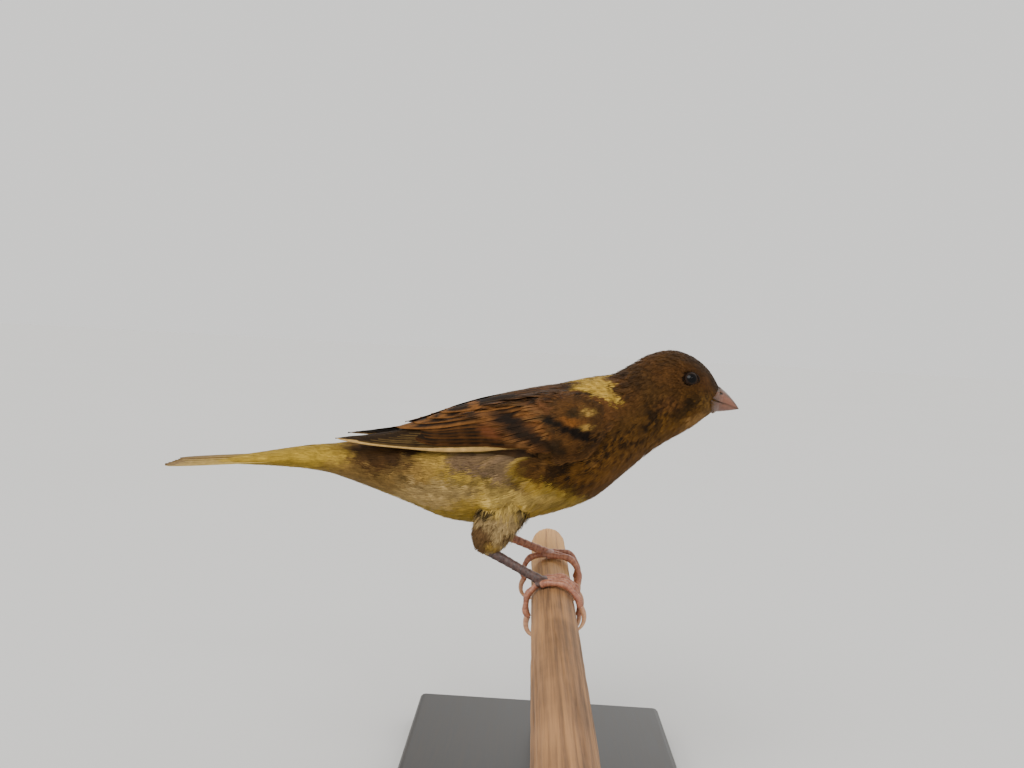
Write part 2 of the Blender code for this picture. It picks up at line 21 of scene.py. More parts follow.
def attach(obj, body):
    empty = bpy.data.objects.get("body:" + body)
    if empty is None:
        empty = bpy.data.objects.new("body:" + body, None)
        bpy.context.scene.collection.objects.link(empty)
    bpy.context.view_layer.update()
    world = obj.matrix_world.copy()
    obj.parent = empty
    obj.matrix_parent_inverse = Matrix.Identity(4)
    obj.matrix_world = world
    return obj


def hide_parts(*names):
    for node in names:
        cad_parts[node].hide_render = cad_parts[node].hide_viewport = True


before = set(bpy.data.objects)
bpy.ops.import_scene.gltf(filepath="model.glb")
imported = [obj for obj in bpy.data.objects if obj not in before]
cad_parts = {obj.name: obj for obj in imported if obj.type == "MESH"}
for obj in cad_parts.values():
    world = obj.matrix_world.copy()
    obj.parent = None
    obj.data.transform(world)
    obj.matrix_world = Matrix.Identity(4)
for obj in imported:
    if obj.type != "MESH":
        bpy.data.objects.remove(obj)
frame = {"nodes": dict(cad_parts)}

LOG = logging.getLogger("canary")
MM = 0.001
Array = np.ndarray


class Slot(Enum):
    """The record's material slots."""

    BROWN = "plumage_brown"
    DARK = "plumage_dark"
    YELLOW = "plumage_yellow"
    BILL = "bill_horn"
    EYE = "eye_dark"
    SCALE = "leg_scale"
    CLAW = "claw_horn"
    WOOD = "perch_wood"
    BASE = "stand_black"
    STEEL = "stand_steel"


class Side(Enum):
    """The bird's own left and right, with the sign of Y."""

    LEFT = 1
    RIGHT = -1


def linear_rgb(hex_code: str) -> tuple[float, float, float]:
    """An sRGB hex colour as linear red, green and blue."""
    values = (int(hex_code[i : i + 2], 16) / 255 for i in (0, 2, 4))
    return tuple(c / 12.92 if c <= 0.04045 else ((c + 0.055) / 1.055) ** 2.4 for c in values)


def smooth(value: Array, low: float, high: float) -> Array:
    """Rises from 0 at low to 1 at high with no corner at either end."""
    t = np.clip((np.asarray(value, float) - low) / (high - low), 0.0, 1.0)
    return t * t * (3 - 2 * t)


def mix(a: Array, b: Array, share: Array) -> Array:
    """Blends colours a and b by a share for each point."""
    return a + (b - a) * np.asarray(share)[..., None]


def ripple(points: Array, size: float, seed: int) -> Array:
    """Smooth, repeatable waviness.

    Args:
        points: Places in millimetres, one for each value.
        size: Distance from one swell to the next.
        seed: Picks the pattern.

    Returns:
        Values from about -1 to 1.
    """
    rng = np.random.default_rng(seed)
    total = np.zeros(points.shape[:-1])
    for _ in range(7):
        wave = rng.normal(size=3)
        wave *= 2 * math.pi * rng.uniform(0.6, 1.5) / size / np.linalg.norm(wave)
        total += np.sin(points @ wave + rng.uniform(0, 2 * math.pi))
    return np.clip(total / 3.2, -1.0, 1.0)


def catmull(rows: Array, at: Array) -> Array:
    """Rows at fractional indices on a smooth curve through all of them, carried on straight past the ends."""
    rows = np.asarray(rows, float)
    last = len(rows) - 1
    inside = np.clip(np.asarray(at, float), 0.0, last)
    i = np.minimum(inside.astype(int), last - 1)
    t = (inside - i)[..., None]
    over = (np.asarray(at, float) - inside)[..., None]
    padded = np.concatenate([[2 * rows[0] - rows[1]], rows, [2 * rows[-1] - rows[-2]]])
    before, a, b, after = (padded[i + k] for k in range(4))
    on = 0.5 * (
        2 * a
        + (b - before) * t
        + (2 * before - 5 * a + 4 * b - after) * t**2
        + (3 * a - before - 3 * b + after) * t**3
    )
    return on + (b - a) * over


def unit(vectors: Array) -> Array:
    """Vectors scaled to length 1."""
    return vectors / np.linalg.norm(vectors, axis=-1, keepdims=True)


def add_node(tree: bpy.types.NodeTree, kind: str, inputs: dict | None = None, **settings) -> bpy.types.Node:
    """Adds a node with its settings and what feeds it.

    Args:
        tree: The material's tree.
        kind: The node's type.
        inputs: For each input by name or number, a value or the output that is linked to it.
        settings: The node's own settings. For a colour ramp, stops gives its places and hex colours.

    Returns:
        The node.
    """
    node = tree.nodes.new(kind)
    stops = settings.pop("stops", None)
    for key, value in settings.items():
        setattr(node, key, value)
    for key, value in (inputs or {}).items():
        if isinstance(value, bpy.types.NodeSocket):
            tree.links.new(value, node.inputs[key])
        else:
            node.inputs[key].default_value = value
    if stops:
        ramp = node.color_ramp
        while len(ramp.elements) < len(stops):
            ramp.elements.new(1.0)
        for element, (place, hex_code) in zip(ramp.elements, stops):
            element.position = place
            element.color = (*linear_rgb(hex_code), 1.0)
    return node


def per_metre(size: float) -> float:
    """The texture scale that repeats once in a size given in millimetres."""
    return 1.0 / (size * MM)


@dataclass(frozen=True)
class Finish:
    """What all finishes share: a name, and a Principled shader that paint() sets up."""

    name: str = "finish"
    roughness: float = 0.6
    ior: float = 1.5

    def paint(self, tree: bpy.types.NodeTree, shader: bpy.types.Node) -> None:
        """Adds this finish's nodes."""
        raise NotImplementedError

    def material(self) -> bpy.types.Material:
        """The finish as a material, made once."""
        return material_of(self)


@cache
def material_of(finish: Finish) -> bpy.types.Material:
    """Makes the material of a finish the first time it is asked for."""
    made = bpy.data.materials.new(finish.name)
    made.use_nodes = True
    shader = made.node_tree.nodes["Principled BSDF"]
    shader.inputs["Roughness"].default_value = finish.roughness
    shader.inputs["IOR"].default_value = finish.ior
    finish.paint(made.node_tree, shader)
    return made


@dataclass(frozen=True)
class BodyFeather(Finish):
    """Soft contour feathers of keratin: matt, with a faint bloom at a slant and barbs that catch the light."""

    name: str = "keratin contour plumage"
    roughness: float = 0.72
    ior: float = 1.54
    barb: float = 0.35
    mottle: float = 2.4
    sheen: float = 0.02

    def paint(self, tree: bpy.types.NodeTree, shader: bpy.types.Node) -> None:
        """Reads the markings, breaks them up at barb size and adds bump."""
        marks = add_node(tree, "ShaderNodeAttribute", attribute_name="Markings")
        place = add_node(tree, "ShaderNodeTexCoord").outputs["Object"]
        fine = add_node(tree, "ShaderNodeTexNoise", {"Vector": place, "Scale": per_metre(self.barb), "Detail": 2.0})
        broad = add_node(tree, "ShaderNodeTexNoise", {"Vector": place, "Scale": per_metre(self.mottle), "Detail": 3.0})
        both = add_node(tree, "ShaderNodeMath", {0: fine.outputs["Fac"], 1: broad.outputs["Fac"]}, operation="ADD")
        level = add_node(
            tree,
            "ShaderNodeMapRange",
            {"Value": both.outputs[0], "From Min": 0.6, "From Max": 1.4, "To Min": 0.78, "To Max": 1.22},
        )
        tone = add_node(
            tree, "ShaderNodeVectorMath", {0: marks.outputs["Color"], "Scale": level.outputs[0]}, operation="SCALE"
        )
        bump = add_node(
            tree, "ShaderNodeBump", {"Height": fine.outputs["Fac"], "Strength": 0.25, "Distance": 0.08 * MM}
        )
        tree.links.new(tone.outputs["Vector"], shader.inputs["Base Color"])
        tree.links.new(bump.outputs["Normal"], shader.inputs["Normal"])
        shader.inputs["Sheen Weight"].default_value = self.sheen
        shader.inputs["Sheen Roughness"].default_value = 0.5
        shader.inputs["Specular IOR Level"].default_value = 0.08


@dataclass(frozen=True)
class FlightFeather(Finish):
    """Stiff vanes of keratin: a smooth raised shaft and slanting barbs, a little glossier than body feathers."""

    name: str = "keratin flight feather"
    roughness: float = 0.62
    ior: float = 1.54
    barb: float = 0.32
    slant: float = 0.9
    shaft: str = "3A2A18"
    length: float = 34.0
    width: float = 5.0

    def paint(self, tree: bpy.types.NodeTree, shader: bpy.types.Node) -> None:
        """Draws shaft and barbs from the map that runs along and across each feather."""
        marks = add_node(tree, "ShaderNodeAttribute", attribute_name="Markings")
        across_along = add_node(tree, "ShaderNodeUVMap", uv_map="Vane")
        split = add_node(tree, "ShaderNodeSeparateXYZ", {0: across_along.outputs["UV"]})
        centred = add_node(tree, "ShaderNodeMath", {0: split.outputs["X"], 1: 0.5}, operation="SUBTRACT")
        off = add_node(tree, "ShaderNodeMath", {0: centred.outputs[0]}, operation="ABSOLUTE")
        reach = add_node(tree, "ShaderNodeMath", {0: off.outputs[0], 1: self.width * self.slant}, operation="MULTIPLY")
        along = add_node(tree, "ShaderNodeMath", {0: split.outputs["Y"], 1: self.length}, operation="MULTIPLY")
        barb = add_node(tree, "ShaderNodeMath", {0: along.outputs[0], 1: reach.outputs[0]}, operation="SUBTRACT")
        turns = add_node(
            tree, "ShaderNodeMath", {0: barb.outputs[0], 1: 2 * math.pi / self.barb}, operation="MULTIPLY"
        )
        wave = add_node(tree, "ShaderNodeMath", {0: turns.outputs[0]}, operation="SINE")
        place = add_node(tree, "ShaderNodeTexCoord").outputs["Object"]
        uneven = add_node(tree, "ShaderNodeTexNoise", {"Vector": place, "Scale": per_metre(1.1), "Detail": 3.0})
        tone = add_node(
            tree,
            "ShaderNodeMapRange",
            {"Value": uneven.outputs["Fac"], "From Min": 0.3, "From Max": 0.7, "To Min": 0.82, "To Max": 1.18},
        )
        ridge = add_node(tree, "ShaderNodeMath", {0: wave.outputs[0], 1: 0.09, 2: tone.outputs[0]}, operation="MULTIPLY_ADD")
        barbs = add_node(
            tree, "ShaderNodeVectorMath", {0: marks.outputs["Color"], "Scale": ridge.outputs[0]}, operation="SCALE"
        )
        shaft = add_node(
            tree,
            "ShaderNodeMapRange",
            {"Value": off.outputs[0], "From Min": 0.018, "From Max": 0.05, "To Min": 1.0, "To Max": 0.0},
        )
        coloured = add_node(
            tree,
            "ShaderNodeMix",
            {"Factor": shaft.outputs[0], "A": barbs.outputs["Vector"], "B": (*linear_rgb(self.shaft), 1.0)},
            data_type="RGBA",
        )
        coloured_inputs = [s for s in coloured.inputs if s.name in "AB" and s.type == "RGBA"]
        tree.links.new(barbs.outputs["Vector"], coloured_inputs[0])
        coloured_inputs[1].default_value = (*linear_rgb(self.shaft), 1.0)
        height = add_node(
            tree, "ShaderNodeMath", {0: shaft.outputs[0], 1: 3.0, 2: wave.outputs[0]}, operation="MULTIPLY_ADD"
        )
        bump = add_node(tree, "ShaderNodeBump", {"Height": height.outputs[0], "Strength": 0.5, "Distance": 0.03 * MM})
        tree.links.new([s for s in coloured.outputs if s.type == "RGBA"][0], shader.inputs["Base Color"])
        tree.links.new(bump.outputs["Normal"], shader.inputs["Normal"])
        shader.inputs["Specular IOR Level"].default_value = 0.04


@dataclass(frozen=True)
class Skin(Finish):
    """Thin bird skin under the coat in the coat's own colours, darkened as painted shade, so that no gap between
    feathers looks bare.
    """

    name: str = "feathered skin"
    roughness: float = 0.85
    ior: float = 1.4
    barb: float = 0.5

    def paint(self, tree: bpy.types.NodeTree, shader: bpy.types.Node) -> None:
        """Reads the markings darkened as painted shade, with streaky bump."""
        marks = add_node(tree, "ShaderNodeAttribute", attribute_name="Markings")
        place = add_node(tree, "ShaderNodeTexCoord").outputs["Object"]
        lie = add_node(tree, "ShaderNodeMapping", {"Vector": place, "Scale": (0.3, 1.0, 1.0)})
        down = add_node(
            tree, "ShaderNodeTexNoise", {"Vector": lie.outputs[0], "Scale": per_metre(self.barb), "Detail": 2.0}
        )
        # Markings dimmed to 35 to 95 percent: painted shade for skin seen deep between feathers.
        level = add_node(tree, "ShaderNodeMapRange", {"Value": down.outputs["Fac"], "To Min": 0.35, "To Max": 0.95})
        tone = add_node(
            tree, "ShaderNodeVectorMath", {0: marks.outputs["Color"], "Scale": level.outputs[0]}, operation="SCALE"
        )
        bump = add_node(tree, "ShaderNodeBump", {"Height": down.outputs["Fac"], "Strength": 0.6, "Distance": 0.2 * MM})
        tree.links.new(tone.outputs["Vector"], shader.inputs["Base Color"])
        tree.links.new(bump.outputs["Normal"], shader.inputs["Normal"])


@dataclass(frozen=True)
class Horn(Finish):
    """Living horn of a bill or claw: flesh shows through it, with fine growth lines and a dull polish."""

    name: str = "bill horn"
    roughness: float = 0.38
    ior: float = 1.55
    pale: str = "7A4D39"
    deep: str = "45301F"
    line: float = 0.7
    glow: float = 0.25
    radius: float = 0.6

    def paint(self, tree: bpy.types.NodeTree, shader: bpy.types.Node) -> None:
        """Grades from the flesh at the root to the horn of the tip by the Growth attribute, which on the bill also
        carries painted shade along the gape and in the nostril.
        """
        growth = add_node(tree, "ShaderNodeAttribute", attribute_name="Growth")
        place = add_node(tree, "ShaderNodeTexCoord").outputs["Object"]
        lie = add_node(tree, "ShaderNodeMapping", {"Vector": place, "Scale": (0.25, 1.0, 1.0)})
        cloud = add_node(
            tree, "ShaderNodeTexNoise", {"Vector": lie.outputs[0], "Scale": per_metre(self.line), "Detail": 4.0}
        )
        mixed = add_node(
            tree, "ShaderNodeMath", {0: cloud.outputs["Fac"], 1: 0.7, 2: growth.outputs["Fac"]}, operation="MULTIPLY_ADD"
        )
        colour = add_node(
            tree, "ShaderNodeValToRGB", {"Fac": mixed.outputs[0]}, stops=((0.0, "0F0906"), (0.24, self.deep), (0.85, self.pale))
        )
        fine = add_node(
            tree, "ShaderNodeTexNoise", {"Vector": lie.outputs[0], "Scale": per_metre(0.22), "Detail": 2.0}
        )
        bump = add_node(tree, "ShaderNodeBump", {"Height": fine.outputs["Fac"], "Strength": 0.25, "Distance": 0.05 * MM})
        rough = add_node(tree, "ShaderNodeMapRange", {"Value": fine.outputs["Fac"], "To Min": 0.3, "To Max": 0.55})
        tree.links.new(colour.outputs["Color"], shader.inputs["Base Color"])
        tree.links.new(bump.outputs["Normal"], shader.inputs["Normal"])
        tree.links.new(rough.outputs[0], shader.inputs["Roughness"])
        shader.inputs["Subsurface Weight"].default_value = self.glow
        shader.inputs["Subsurface Radius"].default_value = (1.0, 0.45, 0.3)
        shader.inputs["Subsurface Scale"].default_value = self.radius * MM


@dataclass(frozen=True)
class WetEye(Finish):
    """A bird's eye: a brown-black iris round a black pupil, behind a wet clear front that gives a sharp glint."""

    name: str = "wet dark eye"
    roughness: float = 0.18
    ior: float = 1.376
    iris: str = "20130A"
    rim: str = "0B0805"

    def paint(self, tree: bpy.types.NodeTree, shader: bpy.types.Node) -> None:
        """Draws pupil, iris and rim by the Look attribute, 1 where the eye looks."""
        look = add_node(tree, "ShaderNodeAttribute", attribute_name="Look")
        colour = add_node(
            tree,
            "ShaderNodeValToRGB",
            {"Fac": look.outputs["Fac"]},
            stops=((0.5, self.rim), (0.66, self.iris), (0.84, self.iris), (0.87, "030202")),
        )
        tree.links.new(colour.outputs["Color"], shader.inputs["Base Color"])
        shader.inputs["Specular IOR Level"].default_value = 0.0
        shader.inputs["Coat Weight"].default_value = 0.3
        shader.inputs["Coat Roughness"].default_value = 0.03


@dataclass(frozen=True)
class Lid(Finish):
    """Bare lid skin: thin, grey-brown and finely wrinkled."""

    name: str = "eyelid skin"
    roughness: float = 0.55
    ior: float = 1.4
    colour: str = "2C1D10"
    crease: str = "110A06"

    def paint(self, tree: bpy.types.NodeTree, shader: bpy.types.Node) -> None:
        """Dark creases between small beads of skin, the dark being painted shade in the creases."""
        place = add_node(tree, "ShaderNodeTexCoord").outputs["Object"]
        beads = add_node(tree, "ShaderNodeTexVoronoi", {"Vector": place, "Scale": per_metre(0.28)})
        # Crease colour where the beads meet: painted shade in the sunken creases.
        colour = add_node(
            tree,
            "ShaderNodeValToRGB",
            {"Fac": beads.outputs["Distance"]},
            stops=((0.15, self.colour), (0.6, self.crease)),
        )
        bump = add_node(
            tree, "ShaderNodeBump", {"Height": beads.outputs["Distance"], "Strength": 0.6, "Distance": -0.08 * MM}
        )
        tree.links.new(colour.outputs["Color"], shader.inputs["Base Color"])
        tree.links.new(bump.outputs["Normal"], shader.inputs["Normal"])
        shader.inputs["Specular IOR Level"].default_value = 0.12


@dataclass(frozen=True)
class LegScale(Finish):
    """Horny leg scales: flesh-pink plates with a soft shine, and darker joints between them, dulled by dust."""

    name: str = "leg scale"
    roughness: float = 0.5
    ior: float = 1.5
    pale: str = "A8735F"
    deep: str = "7C4F40"
    joint: str = "3E2A20"
    grain: float = 0.9

    def paint(self, tree: bpy.types.NodeTree, shader: bpy.types.Node) -> None:
        """Mottles the plates and darkens them by the Joint attribute."""
        joint = add_node(tree, "ShaderNodeAttribute", attribute_name="Joint")
        place = add_node(tree, "ShaderNodeTexCoord").outputs["Object"]
        cloud = add_node(tree, "ShaderNodeTexNoise", {"Vector": place, "Scale": per_metre(self.grain), "Detail": 4.0})
        plates = add_node(
            tree, "ShaderNodeValToRGB", {"Fac": cloud.outputs["Fac"]}, stops=((0.35, self.deep), (0.65, self.pale))
        )
        dusty = add_node(tree, "ShaderNodeMix", {"Factor": joint.outputs["Fac"]}, data_type="RGBA")
        tree.links.new(plates.outputs["Color"], dusty.inputs[6])
        dusty.inputs[7].default_value = (*linear_rgb(self.joint), 1.0)
        fine = add_node(tree, "ShaderNodeTexNoise", {"Vector": place, "Scale": per_metre(0.2), "Detail": 2.0})
        bump = add_node(tree, "ShaderNodeBump", {"Height": fine.outputs["Fac"], "Strength": 0.35, "Distance": 0.06 * MM})
        rough = add_node(tree, "ShaderNodeMapRange", {"Value": fine.outputs["Fac"], "To Min": 0.35, "To Max": 0.65})
        tree.links.new(dusty.outputs[2], shader.inputs["Base Color"])
        tree.links.new(bump.outputs["Normal"], shader.inputs["Normal"])
        tree.links.new(rough.outputs[0], shader.inputs["Roughness"])
        shader.inputs["Subsurface Weight"].default_value = 0.15
        shader.inputs["Subsurface Radius"].default_value = (1.0, 0.4, 0.25)
        shader.inputs["Subsurface Scale"].default_value = 0.5 * MM


@dataclass(frozen=True)
class Dowel(Finish):
    """Untreated turned beech, weathered by feet and water: dull brown, with long open grooves, bare at the cut end and
    paler towards the far end, where the paleness is partly bare wood and partly painted light.
    """

    name: str = "weathered beech dowel"
    roughness: float = 0.78
    ior: float = 1.5
    light: str = "9A6E44"
    mid: str = "6E4C2E"
    dark: str = "35230F"
    bare: str = "CE9A5A"
    grain: float = 0.9
    stretch: float = 0.016

    def paint(self, tree: bpy.types.NodeTree, shader: bpy.types.Node) -> None:
        """Long grain, pores in lines, broad stains, and pale wood by the Bare attribute, which towards the far end is
        partly painted light.
        """
        place = add_node(tree, "ShaderNodeTexCoord").outputs["Object"]
        along = add_node(tree, "ShaderNodeMapping", {"Vector": place, "Scale": (1.0, self.stretch, 1.0)})
        grain = add_node(
            tree,
            "ShaderNodeTexNoise",
            {"Vector": along.outputs[0], "Scale": per_metre(self.grain), "Detail": 5.0, "Roughness": 0.65},
        )
        stain = add_node(tree, "ShaderNodeTexNoise", {"Vector": place, "Scale": per_metre(14.0), "Detail": 3.0})
        worn = add_node(
            tree, "ShaderNodeMath", {0: stain.outputs["Fac"], 1: 0.45, 2: grain.outputs["Fac"]}, operation="MULTIPLY_ADD"
        )
        wood = add_node(
            tree,
            "ShaderNodeValToRGB",
            {"Fac": worn.outputs[0]},
            stops=((0.5, self.dark), (0.68, self.mid), (0.9, self.light)),
        )
        bare = add_node(tree, "ShaderNodeAttribute", attribute_name="Bare")
        fresh = add_node(
            tree, "ShaderNodeValToRGB", {"Fac": grain.outputs["Fac"]}, stops=((0.3, self.light), (0.5, self.bare))
        )
        # Pale wood where Bare is high: bare wood at the cut end; towards the far end partly bare wood and partly
        # painted light from behind.
        shown = add_node(tree, "ShaderNodeMix", {"Factor": bare.outputs["Fac"]}, data_type="RGBA")
        tree.links.new(wood.outputs["Color"], shown.inputs[6])
        tree.links.new(fresh.outputs["Color"], shown.inputs[7])
        bump = add_node(tree, "ShaderNodeBump", {"Height": grain.outputs["Fac"], "Strength": 0.7, "Distance": 0.35 * MM})
        tree.links.new(shown.outputs[2], shader.inputs["Base Color"])
        tree.links.new(bump.outputs["Normal"], shader.inputs["Normal"])


@dataclass(frozen=True)
class Lacquer(Finish):
    """Black-stained wood under satin lacquer: nearly black, with a soft broad highlight and the grain just felt."""

    name: str = "satin black lacquered wood"
    roughness: float = 0.42
    ior: float = 1.5
    ground: str = "1C1917"
    grain_tone: str = "2E2924"
    grain: float = 0.8

    def paint(self, tree: bpy.types.NodeTree, shader: bpy.types.Node) -> None:
        """Faint long grain under an even coat."""
        place = add_node(tree, "ShaderNodeTexCoord").outputs["Object"]
        along = add_node(tree, "ShaderNodeMapping", {"Vector": place, "Scale": (1.0, 0.05, 1.0)})
        grain = add_node(
            tree, "ShaderNodeTexNoise", {"Vector": along.outputs[0], "Scale": per_metre(self.grain), "Detail": 4.0}
        )
        colour = add_node(
            tree, "ShaderNodeValToRGB", {"Fac": grain.outputs["Fac"]}, stops=((0.35, self.ground), (0.7, self.grain_tone))
        )
        rough = add_node(tree, "ShaderNodeMapRange", {"Value": grain.outputs["Fac"], "To Min": 0.32, "To Max": 0.5})
        bump = add_node(tree, "ShaderNodeBump", {"Height": grain.outputs["Fac"], "Strength": 0.15, "Distance": 0.1 * MM})
        tree.links.new(colour.outputs["Color"], shader.inputs["Base Color"])
        tree.links.new(rough.outputs[0], shader.inputs["Roughness"])
        tree.links.new(bump.outputs["Normal"], shader.inputs["Normal"])
        shader.inputs["Specular IOR Level"].default_value = 0.25
        shader.inputs["Coat Weight"].default_value = 0.12
        shader.inputs["Coat Roughness"].default_value = 0.3


@dataclass(frozen=True)
class BrushedSteel(Finish):
    """Brushed stainless steel rod: a grey metal with fine rings round it from the abrasive."""

    name: str = "brushed stainless steel"
    roughness: float = 0.3
    tone: str = "A9A8A5"
    ring: float = 0.25

    def paint(self, tree: bpy.types.NodeTree, shader: bpy.types.Node) -> None:
        """Rings of brushing that vary the gloss and break the highlight."""
        place = add_node(tree, "ShaderNodeTexCoord").outputs["Object"]
        squashed = add_node(tree, "ShaderNodeMapping", {"Vector": place, "Scale": (0.08, 0.08, 1.0)})
        rings = add_node(
            tree, "ShaderNodeTexNoise", {"Vector": squashed.outputs[0], "Scale": per_metre(self.ring), "Detail": 3.0}
        )
        rough = add_node(tree, "ShaderNodeMapRange", {"Value": rings.outputs["Fac"], "To Min": 0.22, "To Max": 0.42})
        bump = add_node(tree, "ShaderNodeBump", {"Height": rings.outputs["Fac"], "Strength": 0.1, "Distance": 0.02 * MM})
        shader.inputs["Base Color"].default_value = (*linear_rgb(self.tone), 1.0)
        shader.inputs["Metallic"].default_value = 1.0
        tree.links.new(rough.outputs[0], shader.inputs["Roughness"])
        tree.links.new(bump.outputs["Normal"], shader.inputs["Normal"])


@dataclass(frozen=True)
class PaleFloor(Finish):
    """Matt pale studio floor."""

    name: str = "pale studio floor"
    roughness: float = 0.9
    tone: str = "CBCAC8"

    def paint(self, tree: bpy.types.NodeTree, shader: bpy.types.Node) -> None:
        """One even tone with the least unevenness."""
        place = add_node(tree, "ShaderNodeTexCoord").outputs["Object"]
        cloud = add_node(tree, "ShaderNodeTexNoise", {"Vector": place, "Scale": 3.0})
        colour = add_node(
            tree, "ShaderNodeValToRGB", {"Fac": cloud.outputs["Fac"]}, stops=((0.2, self.tone), (0.8, "CDCCCA"))
        )
        tree.links.new(colour.outputs["Color"], shader.inputs["Base Color"])
        shader.inputs["Specular IOR Level"].default_value = 0.0


def new_object(name: str, bm: bmesh.types.BMesh) -> bpy.types.Object:
    """Writes a bmesh in metres to a new smooth-shaded object and frees it."""
    mesh = bpy.data.meshes.new(name)
    bm.to_mesh(mesh)
    bm.free()
    mesh.shade_smooth()
    made = bpy.data.objects.new(name, mesh)
    bpy.context.scene.collection.objects.link(made)
    return made


def mapped_grid(bm: bmesh.types.BMesh, along: int, around: int, place: Callable[[Array, Array], Array]) -> tuple:
    """Adds a grid of quads and moves its corners onto a shape.

    Args:
        bm: Where it goes.
        along: Faces in the first direction.
        around: Faces in the second.
        place: Turns shares from 0 to 1 in both directions into points in millimetres.

    Returns:
        The new corners and their two shares.
    """
    made = bmesh.ops.create_grid(bm, x_segments=along, y_segments=around, size=0.5)["verts"]
    shares = np.array([v.co[:2] for v in made]) + 0.5
    points = place(shares[:, 0], shares[:, 1]) * MM
    for vert, point in zip(made, points):
        vert.co = point
    return made, shares


def closed(bm: bmesh.types.BMesh, dist: float = 0.002) -> None:
    """Welds seams and poles, fills open ends and turns all faces outwards."""
    bmesh.ops.remove_doubles(bm, verts=bm.verts, dist=dist * MM)
    bmesh.ops.dissolve_degenerate(bm, edges=bm.edges, dist=1e-7)
    ends = [e for e in bm.edges if e.is_boundary]
    if ends:
        bmesh.ops.holes_fill(bm, edges=ends, sides=0)
    bmesh.ops.recalc_face_normals(bm, faces=bm.faces)


def set_attribute(mesh: bpy.types.Mesh, name: str, values: Array) -> None:
    """Stores one number, or one colour, for each vertex."""
    values = np.asarray(values, np.float32)
    if values.ndim == 1:
        mesh.attributes.new(name, "FLOAT", "POINT").data.foreach_set("value", values)
        return
    rgba = np.ones((len(values), 4), np.float32)
    rgba[:, :3] = values
    mesh.color_attributes.new(name, "FLOAT_COLOR", "POINT").data.foreach_set("color", rgba.ravel())


def dress(piece: bpy.types.Object, finish: Finish, stands_for: Sequence[str] = ()) -> bpy.types.Object:
    """Gives a piece its finish and body, and hides the nodes it stands for."""
    piece.data.materials.append(finish.material())
    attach(piece, "root")
    if stands_for:
        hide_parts(*stands_for)
    LOG.info("%s: %d faces, %s", piece.name, len(piece.data.polygons), finish.name)
    return piece


class Form:
    """A surface that feathers grow on: u runs against their lie, v runs round."""

    unwrap: tuple[float, float, float, float] = (0.0, 1.0, 0.0, 1.0)

    def place(self, u: Array, v: Array, lift: Array | float = 0.0) -> Array:
        """Points on or above the surface, in millimetres."""
        raise NotImplementedError

    def pitch(self, u: Array, v: Array) -> tuple[Array, Array]:
        """Millimetres for one unit of u and one unit of v."""
        step = 0.02
        along = np.linalg.norm(self.place(u + step, v) - self.place(u - step, v), axis=-1)
        around = np.linalg.norm(self.place(u, v + step) - self.place(u, v - step), axis=-1)
        return np.maximum(along / (2 * step), 0.3), np.maximum(around / (2 * step), 0.3)

    def map(self, u: Array, v: Array) -> Array:
        """The unwrap of the surface, from 0 to 1 each way."""
        u0, u1, v0, v1 = self.unwrap
        return np.stack([(u - u0) / (u1 - u0), (v - v0) / (v1 - v0)], axis=-1)


